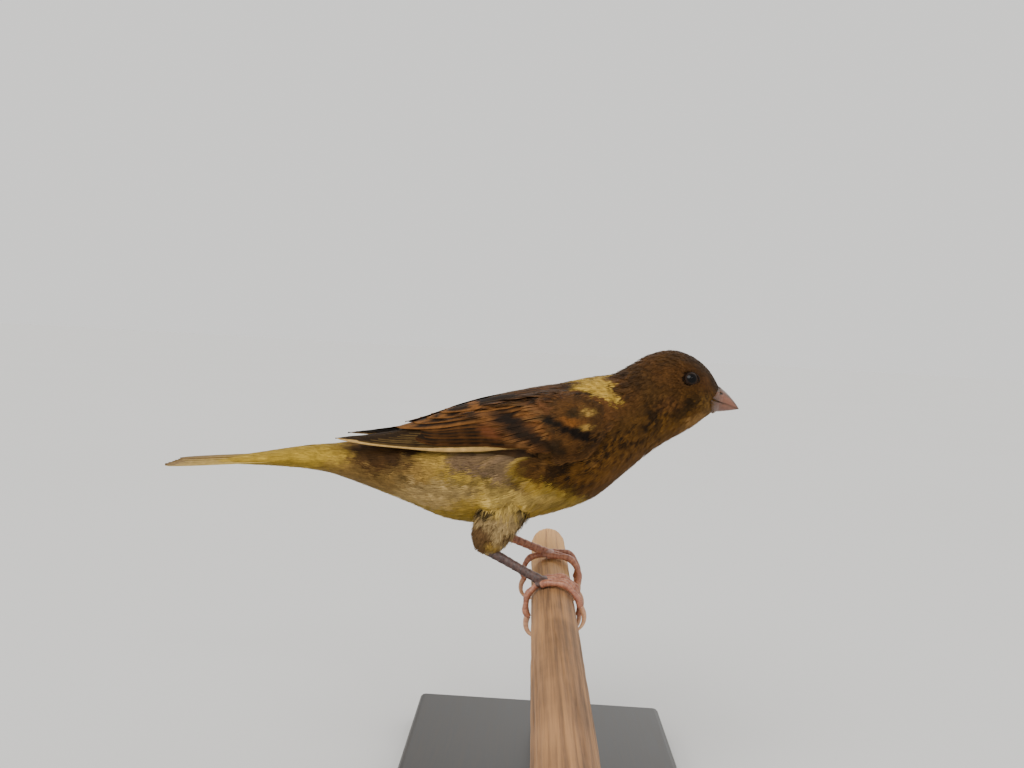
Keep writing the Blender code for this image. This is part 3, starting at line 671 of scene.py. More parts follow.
@dataclass
class Body(Form):
    """The trunk, neck and head: flat oval sections from a point of the upper outline to one of the lower.

    Each row is top x, top z, bottom x, bottom z and half width, as in the solids but for a slightly fuller back.
    """

    rows: Array = field(
        default_factory=lambda: np.array(
            (
                (-80.0, 83.5, -80.0, 82.0, 4.8),
                (-70.0, 85.6, -70.0, 82.1, 6.0),
                (-62.0, 87.2, -62.0, 81.9, 6.8),
                (-54.0, 88.3, -54.5, 81.0, 8.0),
                (-46.0, 90.2, -46.0, 78.5, 10.2),
                (-37.0, 93.4, -36.0, 75.2, 12.6),
                (-28.0, 97.3, -26.0, 71.8, 14.4),
                (-18.0, 101.6, -14.0, 71.3, 15.6),
                (-9.0, 104.3, -2.0, 74.4, 16.0),
                (-1.0, 106.0, 8.0, 78.6, 15.8),
                (6.0, 107.9, 15.0, 84.6, 14.4),
                (11.0, 108.9, 20.0, 89.3, 12.2),
                (15.5, 111.3, 24.5, 92.8, 10.3),
                (20.0, 114.2, 28.2, 95.2, 9.2),
                (25.5, 115.7, 31.3, 97.2, 8.7),
                (30.5, 114.5, 33.3, 98.9, 7.6),
                (34.5, 111.6, 35.0, 100.3, 5.6),
                (37.5, 107.4, 36.7, 101.4, 3.2),
            )
        )
    )
    unwrap: tuple = (-0.6, 17.6, -math.pi, math.pi)
    bare_line: tuple = ((100.0, 36.9), (101.2, 36.2), (102.5, 35.3), (104.2, 34.8), (105.4, 36.0), (106.8, 37.1), (108.0, 37.9))

    def place(self, u: Array, v: Array, lift: Array | float = 0.0) -> Array:
        """Points at row u and angle v."""
        u, v, lift = np.broadcast_arrays(u, v, lift)
        section = catmull(self.rows, u)
        top_x, top_z, low_x, low_z, half = np.moveaxis(section, -1, 0)
        tall = np.hypot(top_x - low_x, top_z - low_z) / 2
        up_x, up_z = (top_x - low_x) / (2 * tall), (top_z - low_z) / (2 * tall)
        rise, out = np.cos(v) / tall, np.sin(v) / half
        size = np.hypot(rise, out)
        x = (top_x + low_x) / 2 + up_x * (tall * np.cos(v) + rise / size * lift)
        y = half * np.sin(v) + out / size * lift
        z = (top_z + low_z) / 2 + up_z * (tall * np.cos(v) + rise / size * lift)
        return np.stack([x, y, z], axis=-1)

    def half_at(self, x: Array, z: Array) -> Array:
        """The half width of the head at a place of its side view, where its sections stand upright."""
        u = np.interp(x, (self.rows[:, 0] + self.rows[:, 2]) / 2, np.arange(18.0))
        top_x, top_z, low_x, low_z, half = np.moveaxis(catmull(self.rows, u), -1, 0)
        off = (z - (top_z + low_z) / 2) / ((top_z - low_z) / 2)
        return half * np.sqrt(np.maximum(1.0 - off**2, 0.0))

    def depth(self, u: Array) -> Array:
        """How thick the coat is over the skin at a row."""
        rows = (0.0, 1.0, 3.0, 6.0, 9.0, 11.0, 12.5, 14.5, 16.0, 17.0)
        deep = (0.2, 0.5, 0.9, 1.2, 1.2, 1.0, 0.8, 0.6, 0.42, 0.25)
        return np.interp(u, rows, deep)


@dataclass(frozen=True)
class EyeSocket:
    """Where the eyes sit in the head and how far their lids open."""

    row: float = 14.45
    angle: float = 73.0
    radius: float = 2.1
    sunk: float = 1.7
    opening: float = 1.7

    def place(self, body: Body, side: Side) -> tuple[Array, Array]:
        """An eye's centre and the way it looks."""
        angle = math.radians(self.angle)
        on = body.place(self.row, angle)
        out = unit(body.place(self.row, angle, 1.0) - on + np.array((0.12, 0.0, 0.0)))
        flip = np.array((1.0, side.value, 1.0))
        return (on - out * self.sunk) * flip, out * flip


@dataclass
class Wing(Form):
    """One folded wing, held just clear of the body, with the arm as a pad that its small coverts grow on.

    Each of the pad's rows is a body row and the angles of its upper and lower edge.
    """

    body: Body
    side: Side
    clearance: float = 0.4
    lift: float = 3.0
    lift_rows: tuple[float, float] = (3.0, 7.2)
    pad: tuple = (
        (5.4, 36.0, 64.0),
        (6.5, 35.0, 73.0),
        (7.5, 36.0, 83.0),
        (8.5, 38.0, 94.0),
        (9.4, 42.0, 95.0),
        (10.1, 52.0, 84.0),
    )
    thick: float = 2.3
    edge: float = 0.5
    unwrap: tuple = (2.0, 11.0, 0.3, 1.9)

    def place(self, u: Array, v: Array, lift: Array | float = 0.0) -> Array:
        """Points above the body's side at row u and angle v."""
        u, v, lift = np.broadcast_arrays(u, v, lift)
        rise = self.lift * (1.0 - smooth(u, *self.lift_rows))
        points = self.body.place(u, v, self.clearance + lift + rise)
        points[..., 1] *= self.side.value
        return points

    def edges(self, u: Array) -> tuple[Array, Array]:
        """The angles of the pad's upper and lower edge at a row, in radians."""
        rows, highs, lows = zip(*self.pad)
        return np.radians(np.interp(u, rows, highs)), np.radians(np.interp(u, rows, lows))

    def height(self, u: Array, v: Array) -> Array:
        """How thick the arm's pad is."""
        high, low = self.edges(u)
        across = np.clip((v - (high + low) / 2) / ((low - high) / 2), -1.0, 1.0)
        t = np.clip((self.pad[-1][0] - u) / (self.pad[-1][0] - self.pad[0][0]), 0.0, 1.0)
        return self.edge + (self.thick - 0.9 * t) * (1.0 - across**2) * np.minimum(1.0, 0.25 + 3.0 * t)

    def bed(self, u: Array, v: Array) -> Array:
        """How high the stiff feathers lie, on the pad in front and falling to the body behind it."""
        return np.maximum(self.height(u, v) - 0.9, 0.0) * smooth(u, 4.6, 6.8)

    def cover(self, u: Array, v: Array) -> Array:
        """1 where the wing lies over the body, falling to 0 over a few degrees at its edges."""
        high, low = self.edges(u)
        inside = smooth(np.abs(v), high - 0.09, high + 0.09) * (1.0 - smooth(np.abs(v), low - 0.09, low + 0.09))
        return inside * (1.0 - smooth(u, 9.6, 10.9)) * smooth(u, 4.6, 5.6)


@dataclass
class Thigh(Form):
    """The feathered thigh, a flattened tube from inside the belly to the ankle; u falls towards the ankle."""

    ankle: tuple[float, float, float]
    side: Side
    profile: tuple = (
        (7.6, 14.5, 4.6),
        (5.7, 10.8, 5.6),
        (3.5, 7.0, 5.3),
        (1.9, 3.6, 4.7),
        (0.9, 1.2, 4.0),
        (0.1, -0.7, 2.3),
    )
    inward: float = 0.035
    flatness: float = 0.78
    unwrap: tuple = (-0.6, 5.2, -math.pi, math.pi)

    def place(self, u: Array, v: Array, lift: Array | float = 0.0) -> Array:
        """Points at u, 5 inside the belly and 0 at the ankle, and angle v round the leg."""
        u, v, lift = np.broadcast_arrays(u, v, lift)
        x, y, z = self.ankle
        knots = np.array(
            [(x + f, y - self.side.value * self.inward * max(h, 0.0) ** 1.9, z + h, r) for f, h, r in self.profile]
        )
        at = len(knots) - 1 - u
        here = catmull(knots, at)
        ahead = unit(catmull(knots, at + 0.05)[..., :3] - catmull(knots, at - 0.05)[..., :3])
        across = unit(np.cross(ahead, (1.0, 0.0, 0.0)))
        front = np.cross(across, ahead)
        radius = (np.maximum(here[..., 3], 0.6) + lift)[..., None]
        turn = v[..., None]
        return here[..., :3] + radius * (front * np.cos(turn) + across * np.sin(turn) * self.flatness)


@dataclass(frozen=True)
class Patch:
    """A soft-edged patch of colour on both sides of the bird, as its side shows it."""

    colour: str
    middle: tuple[float, float]
    reach: tuple[float, float]
    tilt: float = 0.0
    strength: float = 1.0
    edge: float = 0.3

    def cover(self, points: Array) -> Array:
        """The share of the patch's colour at each point."""
        x, z = points[..., 0] - self.middle[0], points[..., 2] - self.middle[1]
        turn = math.radians(self.tilt)
        along = x * math.cos(turn) + z * math.sin(turn)
        across = z * math.cos(turn) - x * math.sin(turn)
        far = np.hypot(along / self.reach[0], across / self.reach[1])
        return self.strength * (1.0 - smooth(far, 1.0 - self.edge, 1.0 + self.edge))


@dataclass(frozen=True)
class Markings:
    """The plumage colours, laid out from large fields to small spots."""

    back: str = "4E3316"
    breast: str = "6B4719"
    yellow: str = "A98A35"
    rump: str = "A3852E"
    dark: str = "150D06"
    rufous: str = "6B411C"
    patches: tuple[Patch, ...] = (
        Patch("80623A", (-42.0, 82.0), (15.0, 5.5), 12.0, 0.8, 0.5),
        Patch("432B13", (-40.0, 87.6), (8.6, 4.6), 12.0, 0.97, 0.4),
        Patch("BFA272", (-27.0, 79.0), (10.0, 3.4), 10.0, 0.65, 0.5),
        Patch("705A4C", (-14.5, 85.0), (8.0, 1.9), -14.0, 0.8, 0.5),
        Patch("604B3D", (-21.0, 88.0), (7.5, 1.9), -6.0, 0.85, 0.5),
        Patch("B49A62", (-8.0, 80.0), (9.0, 2.2), -8.0, 0.45, 0.5),
        Patch("432C12", (22.0, 110.5), (16.0, 7.5), 10.0, 0.6, 0.6),
        Patch("4C3415", (19.0, 101.0), (9.0, 5.0), 30.0, 0.6, 0.6),
        Patch("684719", (27.0, 98.0), (9.0, 3.0), 30.0, 0.7, 0.6),
        Patch("9A7340", (32.5, 99.6), (4.5, 1.7), 30.0, 0.85, 0.5),
        Patch("57371D", (25.5, 102.5), (3.4, 2.2), 30.0, 0.6, 0.6),
        Patch("1D1608", (29.6, 103.0), (4.2, 1.2), 48.0, 0.75, 0.7),
        Patch("7A5A2A", (33.5, 103.2), (2.0, 1.6), 30.0, 0.6, 0.6),
        # The thin near-black line just under the wing's lower edge is painted shadow; the brown band below it is partly
        # the flank's brown and partly painted shade under the wing.
        Patch("5A3C1C", (-8.5, 88.7), (8.5, 1.6), -16.0, 0.85, 0.4),
        Patch("20150B", (-7.5, 90.6), (6.5, 0.6), -4.0, 0.7, 0.5),
        Patch("7E5A30", (1.5, 89.4), (6.5, 0.6), 4.0, 0.6, 0.5),
        Patch("0F0A06", (4.8, 95.2), (3.6, 1.2), -10.0, 0.9, 0.4),
        Patch("967639", (5.6, 100.5), (1.4, 0.85), 15.0, 0.85, 0.5),
        Patch("967639", (5.4, 97.3), (1.5, 0.6), 0.0, 0.85, 0.5),
        Patch("B8943C", (8.0, 106.0), (4.6, 3.0), -9.0, 1.0, 0.16),
    )

    def streak(self, row: Array, angle: Array) -> Array:
        """How strongly a feather's middle is darkened, by where it grows."""
        t = np.abs(angle) / math.pi
        back = (1.0 - smooth(t, 0.3, 0.5)) * smooth(row, 3.2, 5.0) * (1.0 - smooth(row, 11.0, 13.0) * 0.62)
        breast = smooth(t, 0.38, 0.52) * (1.0 - smooth(t, 0.7, 0.9)) * smooth(row, 7.6, 9.0) * 0.62
        breast *= 1.0 - smooth(row, 11.5, 13.0) * 0.75
        flank = smooth(t, 0.45, 0.55) * (1.0 - smooth(t, 0.6, 0.72)) * smooth(row, 3.0, 5.0) * 0.4
        nape = (1.0 - smooth(t, 0.3, 0.42)) * smooth(row, 9.6, 10.2) * (1.0 - smooth(row, 11.0, 11.6))
        return np.clip((back * (0.4 + 0.45 * smooth(t, 0.07, 0.2)) + breast + flank) * (1.0 - 0.85 * nape), 0.0, 1.0)

    def stripe(self, row: Array, angle: Array) -> Array:
        """Long dark stripes that feathers in line share, finer on the head."""
        size = 1.0 - 0.55 * smooth(row, 11.5, 14.0)
        over = angle * np.interp(row, (0, 3, 6, 9, 12, 15, 17), (4.0, 8.0, 13.5, 14.0, 10.5, 8.5, 4.0))
        run = row * np.interp(row, (0, 9, 12, 17), (8.6, 8.0, 6.0, 5.0))
        place = np.stack([run / (5.2 * size), over / (1.5 * size), 0.4 * over / size], axis=-1)
        return smooth(ripple(place, 1.6, 14), -0.12, 0.38)

    def ground(self, points: Array, row: Array, angle: Array) -> Array:
        """The colour at each point of the plumage.

        Args:
            points: Places in millimetres.
            row: Body row of each; not used.
            angle: Angle round the row of each.

        Returns:
            Linear colours.
        """
        t = np.abs(angle) / math.pi
        warp = np.stack([ripple(points, 7.0, 3) * 1.3, np.zeros(len(points)), ripple(points, 7.0, 4) * 1.0], axis=-1)
        warp += np.stack([ripple(points, 2.2, 5) * 0.5, np.zeros(len(points)), ripple(points, 2.2, 6) * 0.5], axis=-1)
        moved = points + warp
        x, z = moved[:, 0], moved[:, 2]
        colour = np.tile(linear_rgb(self.back), (len(points), 1))
        colour = mix(colour, np.array(linear_rgb(self.rufous)), 0.5 * smooth(ripple(points, 9.0, 7), -0.2, 0.8))
        colour = mix(colour, np.array(linear_rgb(self.breast)), smooth(t, 0.42, 0.6) * smooth(x, -12.0, 0.0))
        below = (80.6 + (5.9 - x) * 0.42 - z) / 1.09
        colour = mix(colour, np.array(linear_rgb(self.yellow)), smooth(below, -1.6, 1.8) * (1.0 - smooth(x, 8.0, 13.0)) * smooth(t, 0.22, 0.42))
        colour = mix(colour, np.array(linear_rgb(self.rump)), 1.0 - smooth(x, -58.0, -44.0))
        for patch in self.patches:
            colour = mix(colour, np.array(linear_rgb(patch.colour)), patch.cover(moved))
        nape = self.patches[-1].cover(moved)
        shade = 1.0 + 0.16 * ripple(points, 3.4, 8) + 0.1 * ripple(points, 1.4, 9) * (1.0 - nape)
        return np.clip(colour * shade[:, None], 0.0, 1.0)


@dataclass(frozen=True)
class Barbs:
    """The pattern that every body feather is cut from: narrow locks of barbs side by side."""

    count: int = 9
    stations: tuple[float, ...] = (0.0, 0.42, 0.78)
    round_tip: float = 0.36
    overlap: float = 1.25
    ragged: float = 0.06


@dataclass
class Tract:
    """A stretch of small feathers on one form.

    The functions take u and v, one value a feather, and give millimetres, or radians for lean.
    """

    name: str
    form: Form
    count: int
    u_range: tuple[float, float]
    v_range: tuple[float, float]
    length: Callable[[Array, Array], Array]
    half: Callable[[Array, Array], Array]
    deep: Callable[[Array, Array], Array]
    colour: Callable[[Array, Array, Array], Array]
    streak: Callable[[Array, Array], Array]
    proud: Callable[[Array, Array], Array] = lambda u, v: 0.05 + 0 * u
    lean: Callable[[Array, Array], Array] = lambda u, v: 0 * u
    keep: Callable[[Array, Array], Array] = lambda u, v: np.ones(len(u), bool)
    weight: Callable[[Array, Array], Array] = lambda u, v: np.ones(np.shape(u))
    raised: Callable[[Array, Array], Array] = lambda u, v: 0 * u
    barbs: Barbs = Barbs()
    dark: str = "150D06"
    edge: str | None = None
    edge_share: float = 0.5
    ruffle: float = 0.14
    stripe: Callable[[Array, Array], Array] = lambda u, v: 0 * u
    shown: float = 0.62
    core: tuple[float, float] = (0.15, 0.75)
    pale_tip: float = 0.5
    fixed: tuple[Array, Array] | None = None
    spots: Callable[[Array, Array], Array] = lambda colour, points: colour
    seed: int = 1

    def roots(self) -> tuple[Array, Array]:
        """Evenly spread roots, closer where the feathers are smaller, unless they are given."""
        if self.fixed is not None:
            return self.fixed
        steps = 240
        u_line = np.linspace(*self.u_range, steps)
        v_line = np.linspace(*self.v_range, steps)
        u_grid, v_grid = (g.ravel() for g in np.meshgrid(u_line, v_line, indexing="ij"))
        along, around = self.form.pitch(u_grid, v_grid)
        need = along * around * self.weight(u_grid, v_grid)
        need = (need / (self.length(u_grid, v_grid) * self.half(u_grid, v_grid))).reshape(steps, steps)
        index = np.arange(1, self.count + 1)
        first, second = (0.5 + index * 0.7548776662466927) % 1.0, (0.5 + index * 0.5698402909980532) % 1.0
        by_row = np.concatenate([[0.0], np.cumsum(need.sum(axis=1))])
        u_edges = np.linspace(*self.u_range, steps + 1)
        u = np.interp(first * by_row[-1], by_row, u_edges)
        line = np.clip(((u - self.u_range[0]) / (self.u_range[1] - self.u_range[0]) * steps).astype(int), 0, steps - 1)
        by_angle = np.cumsum(need, axis=1)
        by_angle = by_angle / by_angle[:, -1:]
        v_edges = np.linspace(*self.v_range, steps + 1)
        v = np.empty(self.count)
        for row in np.unique(line):
            here = line == row
            v[here] = np.interp(second[here], np.concatenate([[0.0], by_angle[row]]), v_edges)
        kept = self.keep(u, v)
        return u[kept], v[kept]

    def build(self) -> bpy.types.Object:
        """All feathers of the tract as one mesh, with their markings and bake map."""
        rng = np.random.default_rng(self.seed)
        u, v = self.roots()
        total, locks = len(u), self.barbs.count
        length = self.length(u, v) * rng.uniform(0.85, 1.18, total)
        half = self.half(u, v) * rng.uniform(0.88, 1.12, total)
        deep, proud = self.deep(u, v), self.proud(u, v)
        heading = self.lean(u, v) + rng.normal(0.0, self.ruffle, total)
        along, around = self.form.pitch(u, v)
        side = -1.0 + 2.0 * (np.arange(locks) + 0.5) / locks
        ends = 1.0 - self.barbs.round_tip * np.abs(side) ** 1.8 + self.barbs.ragged * rng.uniform(-1.15, 0.85, (total, locks))
        wander = rng.normal(0.0, 0.07, (total, locks))
        lie = rng.uniform(-0.06, 0.06, (total, locks))
        shares = np.array((*self.barbs.stations, 1.0))
        s = ends[..., None] * shares
        spread = np.minimum(1.0, 0.4 + 1.5 * s)
        middle = side[None, :, None] * spread + wander[..., None] * s**2
        lock_half = self.barbs.overlap / locks * spread * np.array((*np.linspace(1.0, 0.85, len(shares) - 2), 0.72, 0.0))
        across = np.stack([middle - lock_half, middle + lock_half], axis=-1)
        s = np.repeat(s[..., None], 2, axis=-1)
        over = across * half[:, None, None, None]
        run = s * length[:, None, None, None]
        turn = heading[:, None, None, None]
        point_u = u[:, None, None, None] - (run * np.cos(turn) - over * np.sin(turn)) / along[:, None, None, None]
        point_v = v[:, None, None, None] + (run * np.sin(turn) + over * np.cos(turn)) / around[:, None, None, None]
        fluff = rng.uniform(0.0, 1.0, total)[:, None, None, None] * 0.22
        lift = -deep[:, None, None, None] + (deep + proud)[:, None, None, None] * np.minimum(1.0, s * 1.15) ** 0.8
        lift = lift + (fluff + lie[..., None, None]) * s**2 * deep[:, None, None, None]
        lift = lift - 0.12 * deep[:, None, None, None] * across**2
        lift = lift + self.raised(point_u, point_v)
        points = self.form.place(point_u, point_v, lift)
        return self.write(points, u, v, across, s, rng)

    def write(self, points: Array, u: Array, v: Array, across: Array, s: Array, rng: np.random.Generator):
        """Writes the mesh.

        Args:
            points: Places by feather, lock, station and edge.
            u: Root of each feather along the form.
            v: Root of each feather round it.
            across: Place across the feather, -1 to 1, as points.
            s: Place along it, 0 to 1, as points.
            rng: The tract's own random draws.

        Returns:
            The object.
        """
        total, locks, stations = points.shape[:3]
        each = 2 * stations - 1
        keep = np.ones((stations, 2), bool)
        keep[-1, 1] = False
        flat = points[:, :, keep].reshape(-1, 3)
        base = (np.arange(total * locks) * each)[:, None]
        quads = np.array([(2 * k, 2 * k + 1, 2 * k + 3, 2 * k + 2) for k in range(stations - 2)])
        tip = np.array((each - 3, each - 2, each - 1))
        sample = points[0, 0]
        facing = np.cross(sample[0, 1] - sample[0, 0], sample[1, 0] - sample[0, 0])
        out = self.form.place(u[:1], v[:1], 1.0)[0] - self.form.place(u[:1], v[:1], 0.0)[0]
        if facing @ out < 0:
            quads, tip = quads[:, ::-1], tip[::-1]
        quad_loops = (base[:, :, None] + quads[None]).reshape(-1, 4)
        tip_loops = base + tip[None]
        loops = np.concatenate([quad_loops.ravel(), tip_loops.ravel()]).astype(np.int32)
        starts = np.concatenate(
            [np.arange(len(quad_loops)) * 4, len(quad_loops) * 4 + np.arange(len(tip_loops)) * 3]
        ).astype(np.int32)
        mesh = bpy.data.meshes.new(self.name)
        mesh.vertices.add(len(flat))
        mesh.vertices.foreach_set("co", (flat * MM).astype(np.float32).ravel())
        mesh.loops.add(len(loops))
        mesh.loops.foreach_set("vertex_index", loops)
        mesh.polygons.add(len(starts))
        mesh.polygons.foreach_set("loop_start", starts)
        mesh.update(calc_edges=True)
        mesh.shade_smooth()
        where = self.form.map(u, v)[:, None, None, None, :] + 0.0015 * np.stack([across, s * 2 - 1], axis=-1)
        uv = where[:, :, keep].reshape(-1, 2).astype(np.float32)
        mesh.uv_layers.new(name="OFBake").data.foreach_set("uv", uv[loops].ravel())
        set_attribute(mesh, "Markings", self.shade(points, u, v, across, s, rng)[:, :, keep].reshape(-1, 3))
        made = bpy.data.objects.new(self.name, mesh)
        bpy.context.scene.collection.objects.link(made)
        return made

    def shade(self, points: Array, u: Array, v: Array, across: Array, s: Array, rng: np.random.Generator) -> Array:
        """Each feather's colour: the markings where it grows, a darker middle, paler edges where it has them, and a
        darker base that is partly grey down and partly painted shade.
        """
        total, locks = points.shape[:2]
        along, around = self.form.pitch(u, v)
        lean, back = self.lean(u, v), self.shown * self.length(u, v)
        u, v = u - back * np.cos(lean) / along, v + back * np.sin(lean) / around
        seen = self.form.place(u, v)
        ground = self.colour(seen, u, v)[:, None, None, None, :]
        streak = self.streak(u, v)[:, None, None, None] * rng.uniform(0.7, 1.0, total)[:, None, None, None]
        field = self.stripe(u, v)[:, None, None, None]
        ground = mix(ground, np.array(linear_rgb(self.dark)), streak * field)
        streak = streak * (0.25 + 0.35 * field)
        middle = (1.0 - smooth(np.abs(across), *self.core)) * smooth(s, 0.1, 0.35) * (1.0 - self.pale_tip * smooth(s, 0.74, 0.97))
        colour = mix(ground, np.array(linear_rgb(self.dark)), np.clip(streak * middle * 1.1, 0.0, 1.0))
        if self.edge:
            rim = np.maximum(smooth(np.abs(across), 0.55, 0.95), smooth(s, 0.82, 1.0)) * self.edge_share
            colour = mix(colour, np.array(linear_rgb(self.edge)), rim)
        colour = self.spots(colour, points)
        tone = rng.uniform(0.88, 1.12, total)[:, None, None, None, None]
        tone = tone * rng.uniform(0.86, 1.14, (total, locks))[:, :, None, None, None]
        # Darker towards the base: partly the grey down, partly painted shade under the feathers that lie over it.
        root = 0.62 + 0.38 * smooth(s, 0.1, 0.7)[..., None]
        return np.clip(colour * tone * root, 0.0, 1.0)


@dataclass
class Plumage:
    """Skin and body feathers, from the tail coverts to the bill and down both thighs."""

    body: Body
    socket: EyeSocket
    wings: tuple[Wing, Wing]
    thighs: tuple[Thigh, Thigh]
    marks: Markings = Markings()
    skin_rows: int = 150
    skin_sides: int = 96

    def near_eye(self, points: Array, side: Side) -> Array:
        """The distance of each point from the line along which an eye looks."""
        centre, look = self.socket.place(self.body, side)
        away = points - centre
        return np.linalg.norm(away - (away @ look)[:, None] * look, axis=-1) + 9.0 * ((away @ look) < -0.5)

    def skin_point(self, s: Array, a: Array) -> Array:
        """The skin under the coat, closed at both ends and dimpled round the eyes."""
        u, v = s * 17.0, (a * 2 - 1) * math.pi
        ends = smooth(s, 0.0, 0.006) * (1.0 - smooth(s, 0.994, 1.0))
        points = self.body.place(u, v, -np.minimum(self.body.depth(u), 1.2))
        for side in Side:
            points[..., 1] -= 0.5 * side.value * (1.0 - smooth(self.near_eye(points, side), 1.8, 3.2))
        middle = self.body.place(u, 0.0, 0.0) / 2 + self.body.place(u, math.pi, 0.0) / 2
        return middle + (points - middle) * ends[:, None]

    def build_skin(self) -> None:
        """One skin for trunk, neck, head and thighs."""
        bm = bmesh.new()
        mapped_grid(bm, self.skin_rows, self.skin_sides, self.skin_point)
        for thigh in self.thighs:
            mapped_grid(bm, 30, 24, lambda s, a, t=thigh: t.place(-0.2 + s * 5.2, a * 2 * math.pi, -1.0))
        closed(bm)
        skin = new_object("skin", bm)
        points = np.array([v.co for v in skin.data.vertices]) / MM
        rows = np.interp(points[:, 0], self.body.rows[:, 0], np.arange(18.0))
        angle = np.arctan2(np.abs(points[:, 1]) / 12.0, (points[:, 2] - self.mid_height(points[:, 0])) / 12.0)
        set_attribute(skin.data, "Markings", self.marks.ground(points, rows, angle))
        dress(skin, Skin(), ("torso", "neck", "head", "thigh_left", "thigh_right"))

    def mid_height(self, x: Array) -> Array:
        """The height half way between back and belly at x."""
        rows = self.body.rows
        return (np.interp(x, rows[:, 0], rows[:, 1]) + np.interp(x, rows[:, 2], rows[:, 3])) / 2

    def clear_of_face(self, u: Array, v: Array) -> Array:
        """False for roots on a lid, in an eye, under the bill's base or well under a wing."""
        points = self.body.place(u, v)
        keep = np.ones(len(u), bool)
        for side in Side:
            keep &= self.near_eye(points, side) > 1.95
        hidden = self.wings[0].cover(u, v)
        return keep & (hidden < np.where(u > 9.0, 0.5, 0.3)) & (self.behind_bill(u, v) > 0.0)

    def behind_bill(self, u: Array, v: Array) -> Array:
        """How far back from the bill's bare base a root is."""
        points = self.body.place(u, v)
        return np.interp(points[..., 2], *zip(*self.body.bare_line)) - points[..., 0]

    def over_wing(self, u: Array, v: Array) -> Array:
        """How far feathers that reach over a wing are held up by it."""
        wing = self.wings[0]
        held = wing.cover(u, v) * (np.maximum(wing.height(u, np.abs(v)), 1.3) + 1.3)
        held = held * np.where(np.abs(v) < 0.95, 1.0, smooth(u, 7.9, 8.7))
        return np.maximum(held, self.thigh_hill(u, v))

    def over_tertials(self, u: Array, v: Array) -> Array:
        """How far shoulder feathers are held up, also where the wing's upper edge reaches past its pad."""
        held = self.over_wing(u, np.maximum(np.abs(v), 0.78)) * smooth(np.abs(v), 0.34, 0.8)
        return held * (1.0 - smooth(u, 8.8, 9.5))

    @cached_property
    def hill_grid(self) -> tuple[Array, Array, Array]:
        """How far the upper thigh stands out of the body's side, as a smooth hill over rows and angles."""
        rows, angles = np.linspace(4.5, 10.0, 56), np.linspace(1.2, 2.9, 52)
        u, v = (g.ravel() for g in np.meshgrid(rows, angles, indexing="ij"))
        on = self.body.place(u, v)
        out = unit(self.body.place(u, v, 1.0) - on)
        hill = np.zeros(len(u))
        t, a = (g.ravel() for g in np.meshgrid(np.linspace(2.9, 5.0, 16), np.linspace(-np.pi, np.pi, 40), indexing="ij"))
        for thigh in self.thighs:
            shape = thigh.place(t, a) * (1.0, thigh.side.value, 1.0)
            away = shape[None] - on[:, None]
            height = np.einsum("ijk,ik->ij", away, out)
            aside = np.sqrt(np.maximum((away**2).sum(-1) - height**2, 0.0))
            hill = np.maximum(hill, (height * np.exp(-((aside / 2.4) ** 2))).max(axis=1))
        return rows, angles, hill.reshape(len(rows), len(angles))

    def thigh_hill(self, u: Array, v: Array) -> Array:
        """How far belly feathers are held out where they drape over the top of a thigh."""
        rows, angles, hill = self.hill_grid
        i = np.clip((u - rows[0]) / (rows[1] - rows[0]), 0.0, len(rows) - 1.001)
        j = np.clip((np.abs(v) - angles[0]) / (angles[1] - angles[0]), 0.0, len(angles) - 1.001)
        i0, j0 = i.astype(int), j.astype(int)
        fi, fj = i - i0, j - j0
        low = hill[i0, j0] * (1 - fj) + hill[i0, j0 + 1] * fj
        high = hill[i0 + 1, j0] * (1 - fj) + hill[i0 + 1, j0 + 1] * fj
        ragged = 0.13 * ripple(np.stack([u * 5.0, np.abs(v) * 3.0, 0 * u], axis=-1), 2.2, 23)
        return (low * (1 - fi) + high * fi) * 1.04 * (1.0 - smooth(np.abs(v) + ragged, 2.0, 2.5))

    def body_tract(self, name: str, count: int, rows: tuple[float, float], seed: int) -> Tract:
        """The feathers of some rows of the body."""
        at = (0.0, 3.0, 6.0, 9.0, 11.0, 12.5, 14.0, 15.5, 16.6, 17.2)
        long = (8.0, 9.0, 7.5, 6.2, 5.0, 3.6, 2.7, 2.1, 1.35, 0.9)
        wide = (1.3, 1.6, 1.7, 1.5, 1.2, 0.85, 0.66, 0.5, 0.36, 0.28)

        def near(u: Array, v: Array) -> Array:
            """Smaller feathers close to an eye."""
            close = np.min([self.near_eye(self.body.place(u, v), side) for side in Side], axis=0)
            return 0.45 + 0.55 * smooth(close, 2.2, 5.0)

        return Tract(
            name=name,
            form=self.body,
            count=count,
            u_range=rows,
            v_range=(-math.pi, math.pi),
            length=lambda u, v: np.interp(u, at, long) * near(u, v),
            half=lambda u, v: np.interp(u, at, wide) * near(u, v),
            deep=lambda u, v: self.body.depth(u),
            colour=self.marks.ground,
            streak=self.marks.streak,
            stripe=self.marks.stripe,
            lean=lambda u, v: 0.1 * np.sin(v) * smooth(u, 4.0, 8.0),
            keep=self.clear_of_face,
            raised=self.over_wing,
            seed=seed,
        )

    def build_coat(self) -> None:
        """Every body tract as its own piece."""
        for name, count, rows, slot in (
            ("coat_tail_base", 2600, (0.2, 4.4), Slot.YELLOW),
            ("coat_rear", 4200, (4.4, 8.0), Slot.YELLOW),
            ("coat_front", 4200, (8.0, 11.6), Slot.BROWN),
            ("coat_head", 4300, (11.6, 17.05), Slot.BROWN),
        ):
            dress(self.body_tract(name, count, rows, len(name)).build(), BodyFeather())

